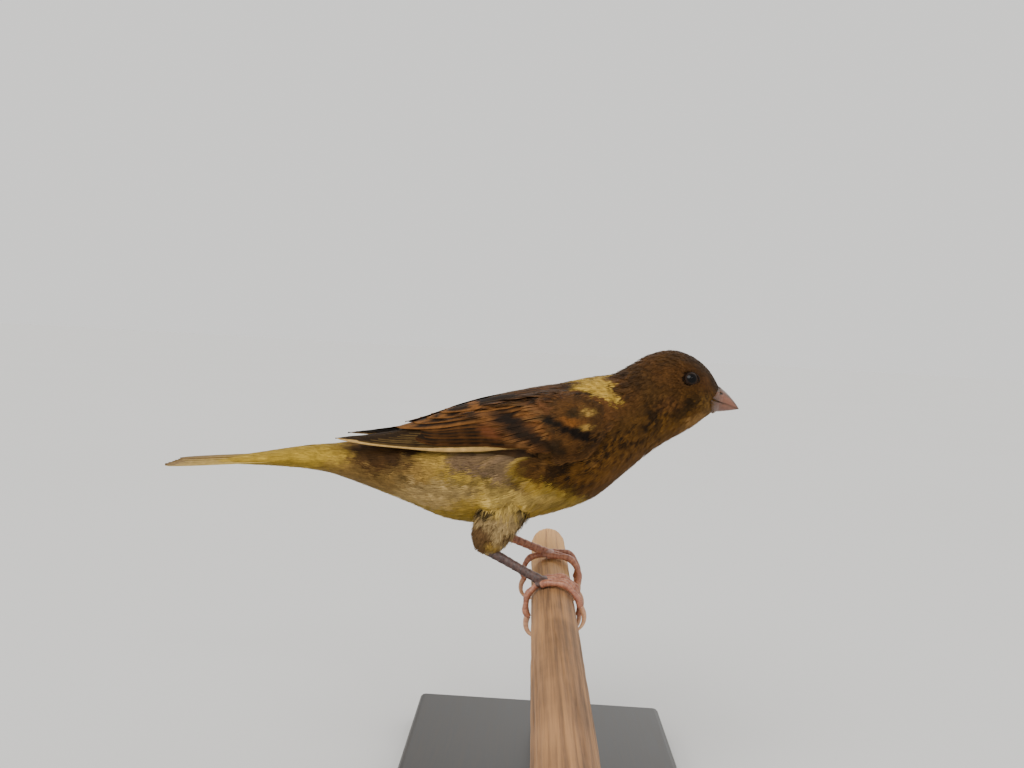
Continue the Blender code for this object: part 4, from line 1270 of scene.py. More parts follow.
    def build_overlaps(self) -> None:
        """Feathers that cross an edge: shoulder and flank feathers over each wing, and bristles at the bill."""
        for side in Side:
            sign, label = side.value, side.name.lower()
            shoulder = self.body_tract(f"shoulder_{label}", 100, (7.3, 9.5), 90 + sign)
            shoulder.v_range = tuple(sorted((sign * 0.18, sign * 1.0)))
            shoulder.length = lambda u, v: 8.6 - 1.1 * (u - 7.3)
            shoulder.half = lambda u, v: 1.6 - 0.12 * (u - 7.3)
            shoulder.keep = lambda u, v: np.abs(v) < 0.6 + 0.34 * smooth(u, 8.2, 9.8)
            shoulder.lean = lambda u, v, sign=sign: sign * 0.04 + 0 * u
            shoulder.deep = lambda u, v: 0.35 + 0.6 * smooth(u, 8.2, 9.2)
            shoulder.proud = lambda u, v: 0.3 + 0.3 * smooth(np.abs(v), 0.3, 0.6)
            shoulder.raised = self.over_tertials
            shoulder.streak = lambda u, v: 3.4 * (1.0 - smooth(u, 9.6, 10.2))
            shoulder.stripe = lambda u, v: 0 * u
            shoulder.edge, shoulder.edge_share = "704722", 0.9
            shoulder.barbs = Barbs(count=15, round_tip=0.5)
            shoulder.ruffle = 0.07
            dress(shoulder.build(), BodyFeather())
            flank = self.body_tract(f"flank_{label}", 240, (8.3, 10.4), 94 + sign)
            flank.v_range = tuple(sorted((sign * 1.42, sign * 1.95)))
            flank.keep = lambda u, v: (np.abs(v) > 1.5 + 0.1 * (u - 7.0)) & (np.abs(v) < 1.75 + 0.1 * (u - 7.0))
            flank.length = lambda u, v: 5.6 + 0 * u
            flank.half = lambda u, v: 1.3 + 0 * u
            flank.lean = lambda u, v, sign=sign: -sign * 0.22 + 0 * u
            flank.proud = lambda u, v: 0.3 + 0 * u
            flank.ruffle = 0.16
            dress(flank.build(), BodyFeather())
        bristles = self.body_tract("bristles", 1500, (15.2, 17.0), 95)
        bristles.length = lambda u, v: 1.5 + 0 * u
        bristles.half = lambda u, v: 0.14 + 0 * u
        bristles.lean = lambda u, v: math.pi + 0 * u
        bristles.deep = lambda u, v: 0.25 + 0 * u
        bristles.proud = lambda u, v: 0.45 + 0 * u
        bristles.keep = lambda u, v: np.abs(self.behind_bill(u, v) - 0.35) < 0.4
        bristles.ruffle = 0.4
        bristles.barbs = Barbs(count=3, overlap=0.8)
        dress(bristles.build(), BodyFeather())

    def build_thighs(self) -> None:
        """Fine loose feathers down each thigh."""
        for thigh in self.thighs:
            grey, cream, dark, yellow = (np.array(linear_rgb(c)) for c in ("5E4529", "A98F60", "1D150E", "9A7B3A"))

            def colour(points: Array, u: Array, v: Array) -> Array:
                """Grey-brown behind, cream in front and above, and dark at both ends of the belly's fringe, where the
                dark is painted shade in the gaps.
                """
                base = mix(np.tile(grey, (len(u), 1)), cream, smooth(np.cos(v) + 0.5 * ripple(points, 4.0, 21), 0.35, 1.0))
                base = mix(base, cream, 0.8 * smooth(points[:, 2] + ripple(points, 2.5, 22), 71.5, 74.5))
                belly = self.marks.ground(points + (0.0, 0.0, 2.0), 6.5 + 0 * u, 2.4 + 0 * v)
                base = mix(base, belly, smooth(points[:, 2] + 0.8 * ripple(points, 1.5, 24), 74.5, 77.0))
                # The two dark blotches are painted shade in the gaps where the belly's fringe meets the thigh; the
                # yellow and cream spots are the feathers' own.
                for tone, x, z, far, tall in ((dark, -17.0, 76.0, 2.6, 1.3), (dark, -6.6, 75.4, 2.2, 1.7), (yellow, -14.5, 68.3, 1.8, 1.2),
                    (cream, -13.6, 70.8, 1.0, 2.4)):
                    near = np.hypot((points[:, 0] - x) / far, (points[:, 2] - z) / tall)
                    base = mix(base, tone, 0.9 * (1.0 - smooth(near, 0.6, 1.4)))
                return base

            tract = Tract(
                name=f"coat_thigh_{thigh.side.name.lower()}",
                form=thigh,
                count=900,
                u_range=(0.25, 4.0),
                v_range=(-math.pi, math.pi),
                length=lambda u, v: 1.3 + 1.1 * u,
                half=lambda u, v: 0.45 + 0.12 * u,
                deep=lambda u, v: 0.9 + 0 * u,
                colour=colour,
                streak=lambda u, v: 0.25 + 0 * u,
                proud=lambda u, v: 0.1 + 0 * u,
                ruffle=0.2,
                barbs=Barbs(count=7, round_tip=0.5, overlap=1.0),
                seed=40 + thigh.side.value,
            )
            dress(tract.build(), BodyFeather())
            tract.name = f"wisps_{thigh.side.name.lower()}"
            tract.count, tract.u_range = 260, (2.6, 4.3)
            tract.length = lambda u, v: 4.4 + 0 * u
            tract.half = lambda u, v: 0.3 + 0 * u
            tract.proud = lambda u, v: 0.7 + 0 * u
            tract.ruffle, tract.barbs = 0.32, Barbs(count=3, round_tip=0.4, overlap=0.7)
            tract.shown = 0.3
            dress(tract.build(), BodyFeather())


@dataclass(frozen=True)
class Tier:
    """One tier of stiff wing feathers; pairs of values hold for its lowest feather and its highest."""

    count: int
    root_rows: tuple[float, float]
    root_angles: tuple[float, float]
    tip_rows: tuple[float, float]
    tip_angles: tuple[float, float]
    half_widths: tuple[float, float]
    level: float
    step: float
    middle: str
    rim: str
    rim_width: float
    pointed: float = 0.5
    bow: float = 1.0


@dataclass
class StiffFeathers:
    """Builds overlapping stiff vanes as one closed mesh, each from a bent grid given its thickness."""

    name: str
    along: int = 26
    across: int = 10
    thickness: float = 0.08

    def __post_init__(self) -> None:
        self.bm = bmesh.new()
        self.vane = self.bm.loops.layers.uv.new("Vane")
        self.bake = self.bm.loops.layers.uv.new("OFBake")
        self.tone = self.bm.verts.layers.float_color.new("Markings")
        self.made = 0

    def add(self, place: Callable[[Array, Array], Array], colour: Callable[[Array, Array], Array]) -> None:
        """Adds a vane.

        Args:
            place: Turns shares along and across it into points in millimetres.
            colour: Turns the same shares into linear colours.
        """
        verts, shares = mapped_grid(self.bm, self.across, self.along, lambda a, s: place(s, a * 2 - 1))
        tones = colour(shares[:, 1], shares[:, 0] * 2 - 1)
        lane, shelf = self.made % 8, self.made // 8
        share_of = {}
        for vert, share, tone in zip(verts, shares, tones):
            vert[self.tone] = (*tone, 1.0)
            share_of[vert] = share
        for face in {f for v in verts for f in v.link_faces}:
            for loop in face.loops:
                a, s = share_of[loop.vert]
                loop[self.vane].uv = (a, s)
                loop[self.bake].uv = (0.01 + lane * 0.123 + a * 0.11, 0.01 + shelf * 0.123 + s * 0.11)
        self.made += 1

    def finish(self, finish: FlightFeather, slot: Slot, out: Array, stands_for: Sequence[str]) -> bpy.types.Object:
        """Turns every vane's upper face to the outside, gives it thickness and dresses the piece."""
        for face in self.bm.faces:
            if face.normal.dot(Vector(out)) < 0:
                face.normal_flip()
        piece = new_object(self.name, self.bm)
        shell = piece.modifiers.new("thickness", "SOLIDIFY")
        shell.thickness = self.thickness * MM
        shell.offset = -1.0
        return dress(piece, finish, stands_for)


def vane_width(t: Array, pointed: float) -> Array:
    """The share of its full half width that a stiff feather has at t, 0 at its root and 1 at its tip."""
    start = 1.0 - pointed * 0.55
    end = np.clip((t - start) / (1.0 - start), 0.0, 1.0)
    return np.minimum(1.0, 0.5 + 2.2 * t) * np.sqrt(np.maximum(1.0 - end**2.2, 0.0004))


@dataclass
class WingFeathers:
    """Both kinds of feather on one wing: stiff tiers behind and small overlapping coverts over the arm."""

    wing: Wing
    marks: Markings
    tilt: float = 0.22
    arch: float = 0.14
    tiers: tuple[Tier, ...] = (
        Tier(9, (8.0, 7.6), (84.0, 66.0), (3.0, 4.9), (46.5, 40.0), (2.3, 2.3), 0.2, 0.03, "261A0D", "6E5732", 0.05, 0.9, 0.45),
        Tier(8, (8.1, 7.7), (82.0, 52.0), (5.2, 5.45), (49.5, 34.0), (2.4, 2.6), 0.5, 0.03, "1A1108", "643F1E", 0.1, 0.5, 0.6),
        Tier(4, (8.2, 8.0), (50.0, 36.0), (4.75, 5.9), (33.0, 24.0), (2.7, 2.3), 0.85, 0.12, "1C120A", "7A5028", 0.2, 0.95),
    )
    soft_rows: tuple[Tier, ...] = (
        Tier(8, (9.0, 8.4), (80.0, 42.0), (7.65, 6.5), (83.0, 36.0), (1.5, 2.0), 1.15, 0.05, "120B05", "6B4421", 0.15),
        Tier(6, (9.6, 8.9), (80.0, 46.0), (8.55, 7.35), (85.0, 42.0), (1.5, 1.9), 1.4, 0.05, "0C0805", "7E5A30", 0.16),
    )
    spots: tuple[Patch, ...] = (
        Patch("7E5128", (-20.0, 99.2), (4.6, 0.9), -36.0, 0.75, 0.5),
        Patch("15110A", (-21.0, 97.6), (2.0, 1.0), 0.0, 0.8, 0.5),
        Patch("6E3F24", (-16.8, 94.8), (2.6, 1.2), -30.0, 0.65, 0.5),
        Patch("0E0A07", (-12.6, 97.8), (3.4, 1.4), -12.0, 0.9, 0.4),
        Patch("17110B", (-8.6, 94.6), (5.2, 1.5), -18.0, 0.85, 0.4),
        Patch("7B5430", (-9.7, 92.4), (2.8, 0.7), -15.0, 0.7, 0.5),
        Patch("71451F", (-6.4, 97.3), (4.6, 0.8), -45.0, 0.8, 0.5),
        Patch("6E4426", (-6.2, 101.0), (2.8, 1.3), -15.0, 0.6, 0.5),
        Patch("0C0A06", (-3.0, 98.0), (2.4, 1.0), -15.0, 0.92, 0.4),
        Patch("1E170D", (-2.0, 92.2), (2.3, 1.7), -20.0, 0.8, 0.5),
        Patch("7A4A1C", (1.6, 98.0), (2.3, 0.9), -15.0, 0.8, 0.5),
        Patch("2A2110", (2.2, 100.2), (1.8, 0.9), 0.0, 0.7, 0.5),
        Patch("0A0705", (3.3, 95.6), (5.3, 1.25), -14.0, 0.95, 0.35),
        Patch("967639", (5.6, 100.5), (1.4, 0.85), 15.0, 0.85, 0.5),
        Patch("967639", (5.4, 97.3), (1.5, 0.6), 0.0, 0.85, 0.5),
    )

    def spotted(self, colour: Array, points: Array) -> Array:
        """The wing's own spots laid over a colour."""
        flat = points.reshape(-1, 3)
        shift = np.stack([0.7 * ripple(flat, 1.5, 37), 0 * flat[:, 0], 0.4 * ripple(flat, 1.5, 38)], axis=-1)
        moved = (flat + shift).reshape(points.shape)
        for spot in self.spots:
            colour = mix(colour, np.array(linear_rgb(spot.colour)), spot.cover(moved))
        return colour

    def pale_spots(self, points: Array) -> Array:
        """The share of the two pale spots at the wing's bend."""
        return np.maximum(self.spots[-1].cover(points), self.spots[-2].cover(points))

    def build_stiff(self) -> None:
        """Flight feathers and the larger coverts."""
        name = self.wing.side.name.lower()
        feathers = StiffFeathers(f"wing_feathers_{name}")
        rng = np.random.default_rng(60 + self.wing.side.value)
        for tier in self.tiers:
            for i in range(tier.count):
                self.add_vane(feathers, tier, i, rng)
        finish = FlightFeather("wing flight feather")
        feathers.finish(finish, Slot.DARK, (0.0, float(self.wing.side.value), 0.25), (f"wing_{name}",))

    def add_vane(self, feathers: StiffFeathers, tier: Tier, index: int, rng: np.random.Generator) -> None:
        """One vane of a tier, laid over the one below it."""
        share = index / (tier.count - 1)
        root_row = np.interp(share, (0, 1), tier.root_rows) + rng.uniform(-0.05, 0.05)
        root_angle = np.interp(share, (0, 1), tier.root_angles)
        tip_row = np.interp(share, (0, 1), tier.tip_rows) + rng.uniform(-0.06, 0.06)
        tip_angle = np.interp(share, (0, 1), tier.tip_angles) + rng.uniform(-0.4, 0.4)
        half = np.interp(share, (0, 1), tier.half_widths)
        level = tier.level + tier.step * index
        shade, phase = rng.uniform(0.8, 1.15), rng.uniform(0.0, 6.0)
        strong = rng.uniform(0.5, 1.0)
        lowest = index == 0 and tier is self.tiers[0]

        def place(s: Array, a: Array) -> Array:
            """Bends the vane over the body's side."""
            row = root_row + (tip_row - root_row) * s
            angle = np.radians(root_angle + (tip_angle - root_angle) * s**tier.bow)
            _, around = self.wing.pitch(row, angle)
            reach = half * vane_width(s, tier.pointed) * (1.0 + 0.035 * np.sin(9.0 * s + phase) * s)
            reach *= 1.0 + 0.28 * lowest * (1.0 - smooth(s, 0.3, 0.7))
            at = angle + a * reach / around
            height = level + self.tilt * a + self.arch * (1 - a * a) - 0.2 * smooth(s, 0.85, 1.0)
            return self.wing.place(row, at, height + self.wing.bed(row, at))

        def colour(s: Array, a: Array) -> Array:
            """Dark along the middle, with the outer edge and tip paler."""
            base = np.tile(linear_rgb(tier.middle), (len(s), 1)) * shade
            points = place(s, a)
            wave = 0.25 * ripple(points, 2.5, 33)
            rim = smooth(a + 0.3 * wave, 1.0 - 2.4 * tier.rim_width, 1.0 - 0.4 * tier.rim_width) * strong
            if tier is self.tiers[-1]:
                rim = np.maximum(rim, 0.9 * smooth(s + 0.5 * wave, 0.8, 0.95))
            edge = linear_rgb("AE8C54" if lowest else tier.rim)
            if lowest:
                rim = smooth(a - 0.25 * s, 0.2, 0.4) * smooth(s, 0.06, 0.14)
            return self.spotted(mix(base, np.array(edge), rim * (0.95 if lowest else 0.85)), points)

        feathers.add(place, colour)

    def build_rows(self) -> None:
        """The two rows of large, soft-edged coverts."""
        wing = self.wing
        for order, tier in enumerate(self.soft_rows):
            share = np.linspace(0.0, 1.0, tier.count)
            row, tip_row = (np.interp(share, (0, 1), pair) for pair in (tier.root_rows, tier.tip_rows))
            angle, tip_angle = (np.radians(np.interp(share, (0, 1), pair)) for pair in (tier.root_angles, tier.tip_angles))
            along, around = wing.pitch(row, angle)
            back, over = (row - tip_row) * along, (tip_angle - angle) * around
            tract = Tract(
                name=f"coverts_{('greater', 'median')[order]}_{wing.side.name.lower()}",
                form=wing,
                count=tier.count,
                u_range=(6.0, 10.0),
                v_range=(0.5, 1.7),
                length=lambda u, v, back=back, over=over: np.hypot(back, over),
                half=lambda u, v, share=share, tier=tier: np.interp(share, (0, 1), tier.half_widths),
                deep=lambda u, v: 0.5 + 0 * u,
                colour=lambda points, u, v, tier=tier: self.soft_ground(points, tier),
                streak=lambda u, v: 2.6 + 0 * u,
                spots=self.spotted,
                proud=lambda u, v: 0.2 + 0 * u,
                lean=lambda u, v, back=back, over=over: np.arctan2(over, back),
                raised=lambda u, v, tier=tier, row=row: wing.bed(u, v) + self.soft_level(u, tier, row),
                barbs=Barbs(count=25, stations=(0.0, 0.22, 0.42, 0.6, 0.76, 0.9), round_tip=0.42, overlap=1.5, ragged=0.025),
                dark=tier.middle,
                core=(0.6, 0.95),
                pale_tip=0.92,
                shown=0.0,
                ruffle=0.03,
                fixed=(row, angle),
                seed=75 + order,
            )
            dress(tract.build(), BodyFeather("keratin covert", mottle=1.6))

    def soft_level(self, u: Array, tier: Tier, row: Array) -> Array:
        """How high each covert of a row lies, sunk at its root."""
        level = tier.level - 0.3 + tier.step * np.arange(tier.count)
        sunk = smooth(u - row[:, None, None, None], -0.6, 0.0)
        return level[:, None, None, None] * (1.0 - 0.85 * sunk)

    def soft_ground(self, points: Array, tier: Tier) -> Array:
        """The pale colour at a covert's edge, here paler and there more rufous."""
        base = np.tile(linear_rgb(tier.rim), (len(points), 1))
        return mix(base, np.array(linear_rgb("4E2F15")), 0.5 * smooth(ripple(points, 5.0, 36), -0.1, 0.7))

    def build_arm(self) -> None:
        """The arm under its small coverts, its colours darkened as painted shade."""
        wing = self.wing

        def place(s: Array, a: Array) -> Array:
            """The pad's outer face."""
            u = 10.1 - 4.7 * s
            high, low = wing.edges(u)
            v = high + (low - 0.085 * (1.0 - smooth(u, 8.0, 8.8)) - high) * a
            return wing.place(u, v, wing.bed(u, v) + 0.05)

        bm = bmesh.new()
        mapped_grid(bm, 24, 14, place)
        for face in bm.faces:
            if face.normal.y * wing.side.value < 0:
                face.normal_flip()
        arm = new_object(f"arm_{wing.side.name.lower()}", bm)
        points = np.array([v.co for v in arm.data.vertices]) / MM
        ground = self.covert_colour(points, 0 * points[:, 0], 0 * points[:, 0])
        # The covert colours at 60 percent: painted shade under the coverts.
        set_attribute(arm.data, "Markings", self.spotted(ground, points) * 0.6)
        shell = arm.modifiers.new("thickness", "SOLIDIFY")
        shell.thickness = 0.3 * MM
        shell.offset = -1.0
        dress(arm, Skin())

    def covert_colour(self, points: Array, u: Array, v: Array) -> Array:
        """Olive-brown with the wing's spots."""
        base = np.tile(linear_rgb("4A3014"), (len(points), 1))
        return mix(base, np.array(linear_rgb("68421B")), smooth(ripple(points, 6.0, 31), -0.2, 0.7) * 0.6)

    def build_coverts(self) -> None:
        """The small coverts over the arm."""
        wing = self.wing

        def inside(u: Array, v: Array) -> Array:
            """True for roots on the pad and off the nape's pale patch."""
            high, low = wing.edges(u)
            pale = self.marks.patches[-1].cover(wing.place(u, v))
            return (v > high - 0.03) & (v < low + 0.02) & (pale < 0.3)

        tract = Tract(
            name=f"coverts_{wing.side.name.lower()}",
            form=wing,
            count=460,
            u_range=(8.75, 10.3),
            v_range=(0.6, 1.72),
            length=lambda u, v: 3.2 + 1.2 * (10.0 - u),
            half=lambda u, v: 0.85 + 0.3 * (10.0 - u),
            deep=lambda u, v: 0.4 + 0 * u,
            colour=self.covert_colour,
            spots=self.spotted,
            streak=lambda u, v: 1.9 * (1.0 - self.pale_spots(wing.place(u, v))),
            core=(0.3, 0.75),
            pale_tip=0.7,
            proud=lambda u, v: 0.22 + 0 * u,
            keep=inside,
            raised=lambda u, v: wing.height(u, v) + 0.85 * (1.0 - smooth(u, 9.7, 10.3)),
            edge="74502A",
            edge_share=0.3,
            barbs=Barbs(count=11, ragged=0.04),
            ruffle=0.08,
            seed=70 + wing.side.value,
        )
        dress(tract.build(), BodyFeather())


@dataclass
class Tail:
    """Twelve tail feathers that fan a little, the middle pair on top."""

    pairs: int = 6
    root: tuple[float, float] = (-60.0, 84.6)
    tip: tuple[float, float] = (-95.5, 81.1)
    notch: float = 2.6
    half: float = 2.8
    fan: tuple[float, float] = (2.2, 3.4)
    drop: float = 0.17

    def build(self) -> None:
        """All vanes as one piece."""
        feathers = StiffFeathers("tail_feathers", along=24, across=8)
        rng = np.random.default_rng(80)
        for index in reversed(range(self.pairs)):
            for side in Side:
                self.add_vane(feathers, side, index, rng)
        finish = FlightFeather("tail feather", shaft="8A6E3A", length=36.0, width=5.6)
        feathers.finish(finish, Slot.YELLOW, (0.0, 0.0, 1.0), ("tail",))

    def add_vane(self, feathers: StiffFeathers, side: Side, index: int, rng: np.random.Generator) -> None:
        """One tail feather."""
        share = index / (self.pairs - 1)
        root_y, tip_y = 0.45 + self.fan[0] * share, 0.6 + self.fan[1] * share
        tip_x = self.tip[0] + self.notch * (1 - share) + 2.5 * max(0.0, share - 0.8) + rng.uniform(-0.4, 0.4)
        shade = rng.uniform(0.92, 1.08)

        def place(s: Array, a: Array) -> Array:
            """Lays the vane along the tail's slope."""
            x = self.root[0] + (tip_x - self.root[0]) * s
            slope = (self.tip[1] - self.root[1]) / (self.tip[0] - self.root[0])
            z = self.root[1] + slope * (x - self.root[0]) + 0.8 - self.drop * index - 0.05 * side.value
            y = root_y + (tip_y - root_y) * np.minimum(1.0, 1.35 * s)
            reach = self.half * vane_width(s, 0.55)
            return np.stack([x, side.value * (y + a * reach), z - 0.25 * a + 0.1 * (1 - a * a)], axis=-1)

        def colour(s: Array, a: Array) -> Array:
            """Yellow that turns grey-brown to the tip, with a pale outer edge."""
            base = np.tile(linear_rgb("A08528"), (len(s), 1))
            base = mix(base, np.array(linear_rgb("937743")), smooth(s, 0.35, 0.75))
            inner = 0.45 * (1.0 - smooth(a, -0.2, 0.6)) * smooth(s, 0.1, 0.5)
            base = mix(base, np.array(linear_rgb("524026")), inner)
            base = mix(base, np.array(linear_rgb("6C573F")), 0.8 * smooth(s, 0.68, 0.98))
            return mix(base, np.array(linear_rgb("B29A5C")), 0.7 * smooth(a, 0.72, 0.95)) * shade

        feathers.add(place, colour)


@dataclass
class Head:
    """Eyes, lids and bill."""

    body: Body
    socket: EyeSocket
    bill_tip: tuple[float, float] = (42.45, 102.35)
    bulges: tuple[float, float] = (0.35, 0.1)
    mouth: tuple[float, float] = (36.95, 103.9)
    half_width: float = 2.8
    nostril: tuple[float, float] = (37.7, 105.9)
    gap: float = 0.3

    def build_eyes(self) -> None:
        """Both eyeballs."""
        for side in Side:
            centre, look = self.socket.place(self.body, side)
            turn = Vector((0, 0, 1)).rotation_difference(Vector(look)).to_matrix().to_4x4()
            bm = bmesh.new()
            bmesh.ops.create_uvsphere(
                bm, u_segments=48, v_segments=32, radius=self.socket.radius * MM, matrix=Matrix.Translation(centre * MM) @ turn
            )
            eye = new_object(f"eyeball_{side.name.lower()}", bm)
            points = np.array([v.co for v in eye.data.vertices]) / MM
            set_attribute(eye.data, "Look", np.clip(unit(points - centre) @ look, 0.0, 1.0))
            dress(eye, WetEye(), (f"eye_{side.name.lower()}",))

    def build_lids(self) -> None:
        """A ring of bare lid round each eye, a little longer fore and aft, beaded along its edge."""
        for side in Side:
            centre, look = self.socket.place(self.body, side)
            forward = unit(np.cross((0.0, 0.0, 1.0), look)) * side.value
            upward = np.cross(look, forward) * (1 if np.cross(look, forward)[2] > 0 else -1)
            rim = self.socket.opening
            profile = np.array(
                ((rim - 0.2, 1.12), (rim - 0.12, 1.36), (rim + 0.0, 1.42), (rim + 0.12, 1.26), (rim + 0.4, 0.9), (rim + 1.1, 0.25))
            )

            def place(s: Array, a: Array) -> Array:
                """The lid's profile turned round the eye."""
                at = catmull(profile, a * (len(profile) - 1))
                turn = s * 2 * math.pi
                bead = 0.045 * np.cos(turn * 26) * np.exp(-(((a - 0.4) / 0.25) ** 2))
                far = at[:, 0] + bead * 0.5
                ahead = np.cos(turn) * far * (1.0 + 0.1 * np.abs(np.cos(turn)) ** 3)
                above = np.sin(turn) * far * 0.93
                return centre + ahead[:, None] * forward + above[:, None] * upward + (at[:, 1] + bead)[:, None] * look

            bm = bmesh.new()
            mapped_grid(bm, 104, 16, place)
            bmesh.ops.remove_doubles(bm, verts=bm.verts, dist=0.002 * MM)
            for face in bm.faces:
                if face.normal.dot(Vector(look)) < 0:
                    face.normal_flip()
            lid = new_object(f"lid_{side.name.lower()}", bm)
            shell = lid.modifiers.new("thickness", "SOLIDIFY")
            shell.thickness = 0.12 * MM
            shell.offset = -1.0
            dress(lid, Lid())

    def bill_half(self, upper: bool) -> Callable[[Array, Array], Array]:
        """The surface of one half of the bill, as the solids have it but finer, with its edge drawn in."""
        top_x, top_z, low_x, low_z, _ = self.body.rows[-1]
        edge = np.array((top_x, top_z) if upper else (low_x, low_z))
        mouth, tip = np.array(self.mouth), np.array(self.bill_tip)
        along = tip - edge
        out = np.array((-along[1], along[0])) / np.linalg.norm(along) * (1 if upper else -1)
        part = -0.03 if upper else 0.03
        bulge = self.bulges[0 if upper else 1]

        def place(s: Array, a: Array) -> Array:
            """Rounds from one cutting edge over the ridge to the other, and flat back between them."""
            t = -0.45 + s * 1.435
            ridge = edge + np.outer(t, along) + np.outer(4 * bulge * t * (1 - t), out)
            meet = mouth + np.outer(t, tip - mouth) + np.array((0.0, part))
            meet[:, 1] += 0.16 * np.sin(np.pi * np.clip(t * 1.15, 0.0, 1.0)) * (1.0 if upper else 0.9)
            half = (self.half_width * (1 - t) ** 0.72 + 0.1) * (1.0 if upper else 0.94)
            turn = np.minimum(a / 0.8, 1.0) * np.pi
            back = np.clip((a - 0.8) / 0.2, 0.0, 1.0)
            rise = np.sin(turn) ** 0.85
            y = np.where(a <= 0.8, half * np.cos(turn), -half + 2 * half * back)
            tuck = 0.35 * np.sin(np.pi * back) * (1 - t)
            place = meet + (ridge - meet) * rise[:, None]
            z = place[:, 1] + tuck * (1 if upper else -1)
            x = place[:, 0] + self.gap
            bare = np.interp(z, *zip(*self.body.bare_line)) - x
            face = self.body.half_at(place[:, 0], z) + (0.14 if upper else 0.04) - 1.1 * smooth(bare, -0.1, 0.7)
            flare = smooth(-t, -0.16, 0.06) * smooth(np.abs(np.cos(turn)), 0.05, 0.4) * (a <= 0.8)
            y = y + (np.sign(y) * face - y) * np.where(face > np.abs(y), flare, flare * smooth(bare, -0.1, 0.7))
            if upper:
                pit = np.hypot((x - self.nostril[0]) / 1.4, z - self.nostril[1])
                y = y * (1.0 - 0.14 * (1.0 - smooth(pit, 0.12, 0.36)))
            points = np.stack([x, y, z], axis=-1)
            return points

        return place

    def build_bill(self) -> None:
        """Both halves of the bill."""
        for name, upper in (("upper", True), ("lower", False)):
            bm = bmesh.new()
            mapped_grid(bm, 56, 70, self.bill_half(upper))
            closed(bm, 0.004)
            half = new_object(f"bill_{name}_horn", bm)
            points = np.array([v.co for v in half.data.vertices]) / MM
            x, z = points[:, 0], points[:, 2]
            growth = smooth(x, 35.2, 39.2) * 0.5 - 0.2 * smooth(x, 41.0, 43.0)
            cut = self.mouth[1] + (x - self.mouth[0]) / (self.bill_tip[0] - self.mouth[0]) * (self.bill_tip[1] - self.mouth[1])
            # Darker along the gape between the two halves: painted shade in the groove.
            growth -= 0.3 * (1.0 - smooth(np.abs(z - cut), 0.05, 0.3))
            culmen = np.interp(x, (37.8, 39.0, 40.5, 41.8, 42.9), (107.2, 106.3, 105.0, 103.9, 102.9))
            growth -= 0.5 * smooth(z, culmen - 1.5, culmen) * upper
            # Darker at the nostril: painted shade in its pit.
            growth -= 0.7 * (1.0 - smooth(np.hypot((x - self.nostril[0]) / 1.4, z - self.nostril[1]), 0.15, 0.36)) * upper
            set_attribute(half.data, "Growth", growth)
            dress(half, Horn(), (f"bill_{name}",))


@dataclass
class Tube:
    """A round limb along a path of points, with a radius for each."""

    path: Array
    radii: Array
    flat: float = 1.0

    def __post_init__(self) -> None:
        path = np.asarray(self.path, float)
        ahead = unit(np.gradient(path, axis=0))
        across = np.cross(ahead[0], (0.0, 0.0, 1.0))
        if np.linalg.norm(across) < 0.2:
            across = np.cross(ahead[0], (0.0, 1.0, 0.0))
        kept = []
        for direction in ahead:
            across = across - direction * across.dot(direction)
            across = across / np.linalg.norm(across)
            kept.append(across)
        self.rows = np.column_stack([path, np.array(kept), np.cross(kept, ahead), np.asarray(self.radii, float)])

    def place(self, s: Array, a: Array, swell: Array | float = 0.0) -> Array:
        """The point at share s of the path and share a of the way round, pushed out by swell."""
        rows = catmull(self.rows, s * (len(self.rows) - 1))
        turn = (a * 2 * math.pi)[:, None]
        out = rows[:, 3:6] * np.cos(turn) * self.flat + rows[:, 6:9] * np.sin(turn)
        return rows[:, :3] + out * (rows[:, 9] + swell)[:, None]


@dataclass(frozen=True)
class Toe:
    """One toe: its number, root and tip across the foot, length, and which way it wraps round the perch."""

    number: int
    root_y: float
    tip_y: float
    length: float
    wrap: int


